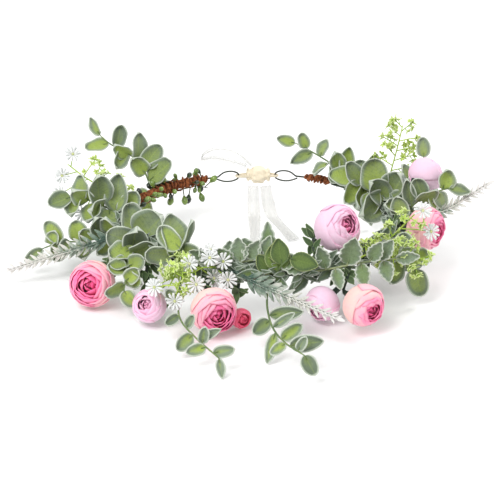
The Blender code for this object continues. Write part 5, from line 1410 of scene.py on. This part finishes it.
class CrownRibbon(bpy.types.Operator):
    """Tie the sheer ribbon: its knot, bow loop and two tails."""

    bl_idname = "crown.ribbon"
    bl_label = "Ribbon"

    def execute(self, context):
        chosen = context.scene.crown_ribbon
        cream = tuple(chosen.cream)
        gathered = organza_finish("gathered_organza", tuple(c * 0.86 for c in cream), cream, 1.0)
        sheer = organza_finish("sheer_organza", (0.58, 0.57, 0.54), (0.76, 0.76, 0.74), chosen.sheerness)
        centre = knot_centre()
        sheets = Sheets()
        made = bmesh.ops.create_uvsphere(sheets.mesh, u_segments=48, v_segments=28, radius=1.0, calc_uvs=True)
        for vert in made["verts"]:
            place = vert.co.normalized()
            turn = math.atan2(place.z, place.y)
            end = abs(place.x)
            frill = math.sqrt(max(0.0, 1.0 - place.x * place.x))
            lobes = math.sin(turn * 6 + place.x * 3.0) + 0.6 * math.sin(turn * 11 - place.x * 6.0)
            reach = KNOT_RADIUS * (0.98 - 0.30 * math.exp(-((end - 0.62) / 0.14) ** 2) + 0.20 * end ** 6)
            reach *= 1.0 + (0.07 + 0.16 * end ** 4) * lobes
            side = place.yz.normalized() if frill > 0.02 else place.yz
            swell = reach * frill ** 0.55
            vert.co = centre + Vector((place.x * KNOT_RADIUS * 1.45, side.x * swell, side.y * swell))
        for angle in (RING_START, RING_END):
            root = ring_point(angle)
            way = (centre - root).normalized()
            tip = root + way * EYELET_LENGTH
            spread = Vector((0, 0, 1)).cross(way).normalized() * 2.0
            reach = tip - way * 2.2
            points = [centre - way * 3.0 + spread * 1.2, centre - way * 7.5 + spread * 1.1,
                      tip + spread * 0.9, reach, tip - spread * 0.9,
                      centre - way * 7.5 - spread * 1.1, centre - way * 3.0 - spread * 1.2]
            route = curve_through(points, 1.0)
            radii = [1.7 - 0.9 * math.sin(math.pi * i / (len(route) - 1)) for i in range(len(route))]
            tube(sheets.mesh, route, radii, 10, 0.6)
        finish_piece("knot_of_ribbon", sheets.mesh, [gathered], replaces=["ribbon_knot"])
        width = chosen.width * 1000
        out = KNOT_RADIUS + CLEARANCE + 0.6
        ribbon_strip("bow_loop_ribbon",
                     ((-5, 0, out), (-14, 1, out + 8), (-26, 2, out + 12), (-37, 2, out + 9),
                      (-40, 2, out + 4), (-30, 1, out + 5), (-17, 0, out + 2.5), (-8.5, -1, out - 0.3)),
                     Vector((0, 1, 0)), width, 0.8, sheer, "root", "ribbon_bow_loop")
        floor = 0.6 - RING_LIFT
        drop = -(out + 1.6)
        ribbon_strip("tail_ribbon_a",
                     ((-3.5, 0, drop), (-3.5, -2, -18), (-3.2, -8, floor + 1.0), (-2.8, -20, floor),
                      (-2.6, -45, floor), (-2.4, -68, floor)),
                     RIGHT, width, 0.5, sheer, "tail_a", "ribbon_tail_a")
        ribbon_strip("tail_ribbon_b",
                     ((5.2, 0, drop), (6.5, -2, -17), (9, -8, floor + 1.0), (12, -18, floor),
                      (18, -36, floor), (24, -54, floor)),
                     RIGHT, width, 0.5, sheer, "tail_b", "ribbon_tail_b")
        return {"FINISHED"}


def petal(sheets, radius, layer, turn, tone, chance):
    """One rose petal: a grid wrapped round the bud, from its base up to a curled rim."""
    _, widest, rim_radius, rim_height, spread, flare = layer
    made = bmesh.ops.create_grid(sheets.mesh, x_segments=16, y_segments=12, size=1.0, calc_uvs=True)
    rim_height += chance.uniform(-0.03, 0.03)
    rim_radius *= chance.uniform(0.97, 1.03)
    kink = chance.uniform(-0.35, 0.35)
    lean = chance.uniform(0.6, 1.2)
    half_spread = math.radians(spread * chance.uniform(0.94, 1.06))
    for vert in made["verts"]:
        side = vert.co.x
        raw = (vert.co.y + 1) / 2
        peak = 0.035 * math.exp(-((side - kink) / 0.28) ** 2)
        share = raw * (1.0 - 0.20 * abs(side) ** 3.2 + peak)
        a = 1 - share
        r = (0.10 * a ** 3 + 3 * widest * 1.02 * a * a * share + 3 * widest * 1.06 * a * share * share
             + rim_radius * share ** 3)
        z = (-0.80 * a ** 3 - 3 * 0.80 * a * a * share + 3 * (rim_height * 0.72) * a * share * share
             + rim_height * share ** 3)
        r += 0.022 * side * lean
        r += flare * max(0.0, share - 0.72) * 3.5 * (1.0 + 0.5 * math.sin(side * 4 + kink * 9))
        z += 0.022 * math.sin(side * 7 + kink * 20) * share ** 3
        r += 0.010 * math.sin(side * 15 + kink * 30) * share ** 2
        wrap = turn + side * half_spread * (0.42 + 0.58 * math.sin(min(1.0, share * 1.3) * math.pi / 2))
        half = half_spread * max(0.1, r) * radius
        vert[sheets.rim] = min((1 - abs(side)) * half, (1 - raw) * radius * 1.5)
        vert[sheets.share] = raw
        vert[sheets.across] = side
        vert[sheets.tint] = tone
        vert.co = Vector((r * radius * math.cos(wrap), r * radius * math.sin(wrap), z * radius))
    return made["verts"]


def bloom(name, layers, first_rank, suffix, node, material, thickness, swell):
    """Some layers of a bloom's petals, as one piece that turns on the bloom's swivel."""
    radius, _, _, _, _, pale_side, tones = ROSES[name]
    centre, way = bloom_place(name)
    stand = stand_on(centre, way)
    pale_way = stand.to_3x3().inverted() @ seen(pale_side)
    pale_turn = math.atan2(pale_way.y, pale_way.x)
    chance = vary(name + suffix)
    sheets = Sheets()
    start = pale_turn
    for rank, layer in enumerate(layers, first_rank):
        count = layer[0]
        start += math.pi / count + chance.uniform(-0.15, 0.15)
        if rank == 0:
            start = pale_turn
        for i in range(count):
            turn = start + 2 * math.pi * i / count + chance.uniform(-0.08, 0.08)
            near = math.cos(turn - pale_turn)
            tone = tones[rank] + chance.uniform(-0.05, 0.05)
            if rank < 2:
                tone -= 0.30 * max(0.0, near) ** 1.5
            elif rank < 5:
                tone -= 0.16 * near
            verts = petal(sheets, radius * swell, layer, turn, min(1.0, max(0.0, tone)), chance)
            bmesh.ops.transform(sheets.mesh, matrix=stand, verts=verts)
    finish_piece(name + suffix, sheets.mesh, [material], name, [node], thickness, closed=False)


class CrownRoses(bpy.types.Operator):
    """Make the blooms, each in its outer and inner petals."""

    bl_idname = "crown.roses"
    bl_label = "Roses"

    def execute(self, context):
        chosen = context.scene.crown_petals
        finishes = {kind: petal_finish(kind + "_petal_cloth", colours)
                    for kind, colours in PETAL_COLOURS.items()}
        for name, (_, _, _, _, kind, _, _) in ROSES.items():
            material = finishes[kind]
            thickness = chosen.thickness * 1000
            outer = CLOSED_LAYERS if kind == "lilac" or name == "rose_right_front" else OUTER_LAYERS
            if name in LARGE_ROSES:
                bloom(name, outer, 0, "_outer_petals", name + "_petals", material,
                      thickness, chosen.swell)
                bloom(name, INNER_LAYERS, 4, "_inner_petals", name + "_heart", material, thickness,
                      chosen.swell)
            else:
                bloom(name, outer + INNER_LAYERS[2:], 0, "_all_petals", name + "_petals",
                      material, thickness, chosen.swell)
        return {"FINISHED"}


class CrownRoseStems(bpy.types.Operator):
    """Make the wired stems, collars and sepals that carry the blooms."""

    bl_idname = "crown.rose_stems"
    bl_label = "Rose Stems"

    def execute(self, context):
        dark = stem_finish("taped_rose_stem", (0.010, 0.022, 0.014), (0.035, 0.06, 0.035), 0.5)
        green = leaf_finish("sepal", (0.10, 0.17, 0.05), (0.07, 0.12, 0.05), (0.20, 0.28, 0.12),
                            (0.04, 0.07, 0.03), 0.3)
        for name, (radius, angle, clock, passing, _, _, _) in ROSES.items():
            centre, way = bloom_place(name)
            root = seat(angle, clock, ROSE_STEM_RADIUS)
            base = centre - way * (BASE_DEPTH * radius + CLEARANCE)
            collar = base - way * ROSE_COLLAR_LENGTH
            route = curve_through([root, root + Vector(passing), collar, base], 1.5)
            cut = next(i for i, point in enumerate(route) if (point - collar).length < 1.2)
            steps = 8
            neck = [collar.lerp(base, (i + 1) / steps) for i in range(steps)]
            radii = [ROSE_STEM_RADIUS * 0.85] * cut
            radii += [ROSE_COLLAR_RADIUS * (0.7 + 0.3 * min(1.0, (i + 1) / 3)) for i in range(steps)]
            mesh = bmesh.new()
            tube(mesh, route[:cut] + neck, radii, 10)
            cup = [base - way * radius * 0.10, base - way * 0.2, base + way * radius * 0.10]
            tube(mesh, cup, [radius * 0.16, radius * 0.30, radius * 0.40], 14)
            finish_piece(name + "_collar", mesh, [dark], replaces=[name + "_stem"])
            sepals = Sheets()
            stand = stand_on(base, way).to_3x3()
            chance = vary(name + "_sepals")
            for i in range(1, cut - 1):
                here = route[i]
                side = seen(chance.uniform(0, 360), chance.uniform(-20, 50))
                along = (side + (route[i + 1] - here).normalized() * chance.uniform(-0.2, 0.8)).normalized()
                long = chance.uniform(6.0, 10.0)
                if near_bloom(here, 1.0) or near_bloom(here + along * long, 1.0):
                    continue
                face = square_to(along, TOWARD)
                sepals.blade(here, along, face, long, long * chance.uniform(0.35, 0.55), slim_outline,
                             chance.random(), (8, 4), 0.15, chance.uniform(-0.1, 0.2), 0.1)
            for i in range(5):
                turn = 2 * math.pi * i / 5 + chance.uniform(-0.1, 0.1)
                side = stand @ Vector((math.cos(turn), math.sin(turn), 0.0))
                along = (side * 0.80 + way * 0.55).normalized()
                face = square_to(along, way)
                sepals.blade(base + side * radius * 0.10, along, face, radius * 0.72, radius * 0.30,
                             slim_outline, chance.random(), (8, 4), 0.10, -0.30)
            finish_piece(name + "_sepals", sepals.mesh, [green], replaces=[name + "_stem"],
                         thickness=0.35, closed=False)
        return {"FINISHED"}


class CrownStage(bpy.types.Operator):
    """Set up the camera, the tabletop and soft studio light."""

    bl_idname = "crown.stage"
    bl_label = "Stage"

    def execute(self, context):
        chosen = context.scene.crown_stage
        scene = context.scene
        aim = RING_CENTRE - RIGHT * AIM_ACROSS - UP * AIM_UP
        lens = bpy.data.cameras.new("studio_camera")
        lens.lens = CAMERA_LENS
        lens.sensor_width = 36.0
        camera = bpy.data.objects.new("studio_camera", lens)
        camera.location = aim + TOWARD * 1.0
        camera.rotation_euler = (math.radians(90) - SHOW_TILT, 0, 0)
        scene.collection.objects.link(camera)
        scene.camera = camera
        mesh = bmesh.new()
        bmesh.ops.create_grid(mesh, x_segments=2, y_segments=2, size=3.0)
        bmesh.ops.translate(mesh, vec=(0, 0, -FLOOR_GAP), verts=mesh.verts[:])
        data = bpy.data.meshes.new("tabletop")
        mesh.to_mesh(data)
        mesh.free()
        data.materials.append(floor_finish("tabletop_finish", tuple(chosen.floor)))
        floor = bpy.data.objects.new("tabletop", data)
        scene.collection.objects.link(floor)
        scene.world = scene.world or bpy.data.worlds.new("studio")
        scene.world.use_nodes = True
        sky = scene.world.node_tree.nodes["Background"]
        sky.inputs["Color"].default_value = (1.0, 1.0, 1.0, 1.0)
        sky.inputs["Strength"].default_value = chosen.fill
        for name, place, power, size in (("key", (-0.55, -0.75, 1.05), chosen.key, 0.7),
                                         ("rim", (0.7, 0.6, 0.8), chosen.key * 0.5, 0.6)):
            lamp = bpy.data.lights.new(name, "AREA")
            lamp.energy = power
            lamp.size = size
            holder = bpy.data.objects.new(name, lamp)
            holder.location = place
            holder.rotation_euler = (RING_CENTRE - Vector(place)).to_track_quat("-Z", "Y").to_euler()
            scene.collection.objects.link(holder)
        scene.view_settings.view_transform = "Standard"
        return {"FINISHED"}


# ---------------------------------------------------------------- panel and registration

OPERATORS = (CrownStage, CrownWire, CrownTapes, CrownVine, CrownBerries, CrownRibbon, CrownLeafSprigs,
             CrownRoseLeaves, CrownDustySprigs, CrownWhiteSpikes, CrownDaisySprays, CrownRoseStems,
             CrownRoses)
SETTINGS = (("crown_leaves", CrownLeafSettings), ("crown_petals", CrownPetalSettings),
            ("crown_ribbon", CrownRibbonSettings), ("crown_stage", CrownStageSettings))


class CrownPanel(bpy.types.Panel):
    """Lists the crown's settings and pieces."""

    bl_idname = "VIEW3D_PT_crown"
    bl_label = "Flower Crown"
    bl_space_type = "VIEW_3D"
    bl_region_type = "UI"
    bl_category = "Crown"

    def draw(self, context):
        layout = self.layout
        for name, group in SETTINGS:
            box = layout.box()
            box.label(text=group.__doc__)
            for key in group.__annotations__:
                box.prop(getattr(context.scene, name), key)
        for operator in OPERATORS:
            layout.operator(operator.bl_idname)


def register():
    """Register the crown's settings, operators and panel."""
    for name, group in SETTINGS:
        bpy.utils.register_class(group)
        setattr(bpy.types.Scene, name, bpy.props.PointerProperty(type=group))
    for operator in OPERATORS:
        bpy.utils.register_class(operator)
    bpy.utils.register_class(CrownPanel)


def unregister():
    """Take the crown's settings, operators and panel away again."""
    bpy.utils.unregister_class(CrownPanel)
    for operator in reversed(OPERATORS):
        bpy.utils.unregister_class(operator)
    for name, group in reversed(SETTINGS):
        delattr(bpy.types.Scene, name)
        bpy.utils.unregister_class(group)


def main():
    """Build every piece in order."""
    register()
    bpy.ops.crown.stage()
    bpy.ops.crown.wire()
    bpy.ops.crown.tapes()
    bpy.ops.crown.vine()
    bpy.ops.crown.berries()
    bpy.ops.crown.ribbon()
    bpy.ops.crown.leaf_sprigs()
    bpy.ops.crown.rose_leaves()
    bpy.ops.crown.dusty_sprigs()
    bpy.ops.crown.white_spikes()
    bpy.ops.crown.daisy_sprays()
    bpy.ops.crown.rose_stems()
    bpy.ops.crown.roses()


if __name__ == "__main__":
    main()
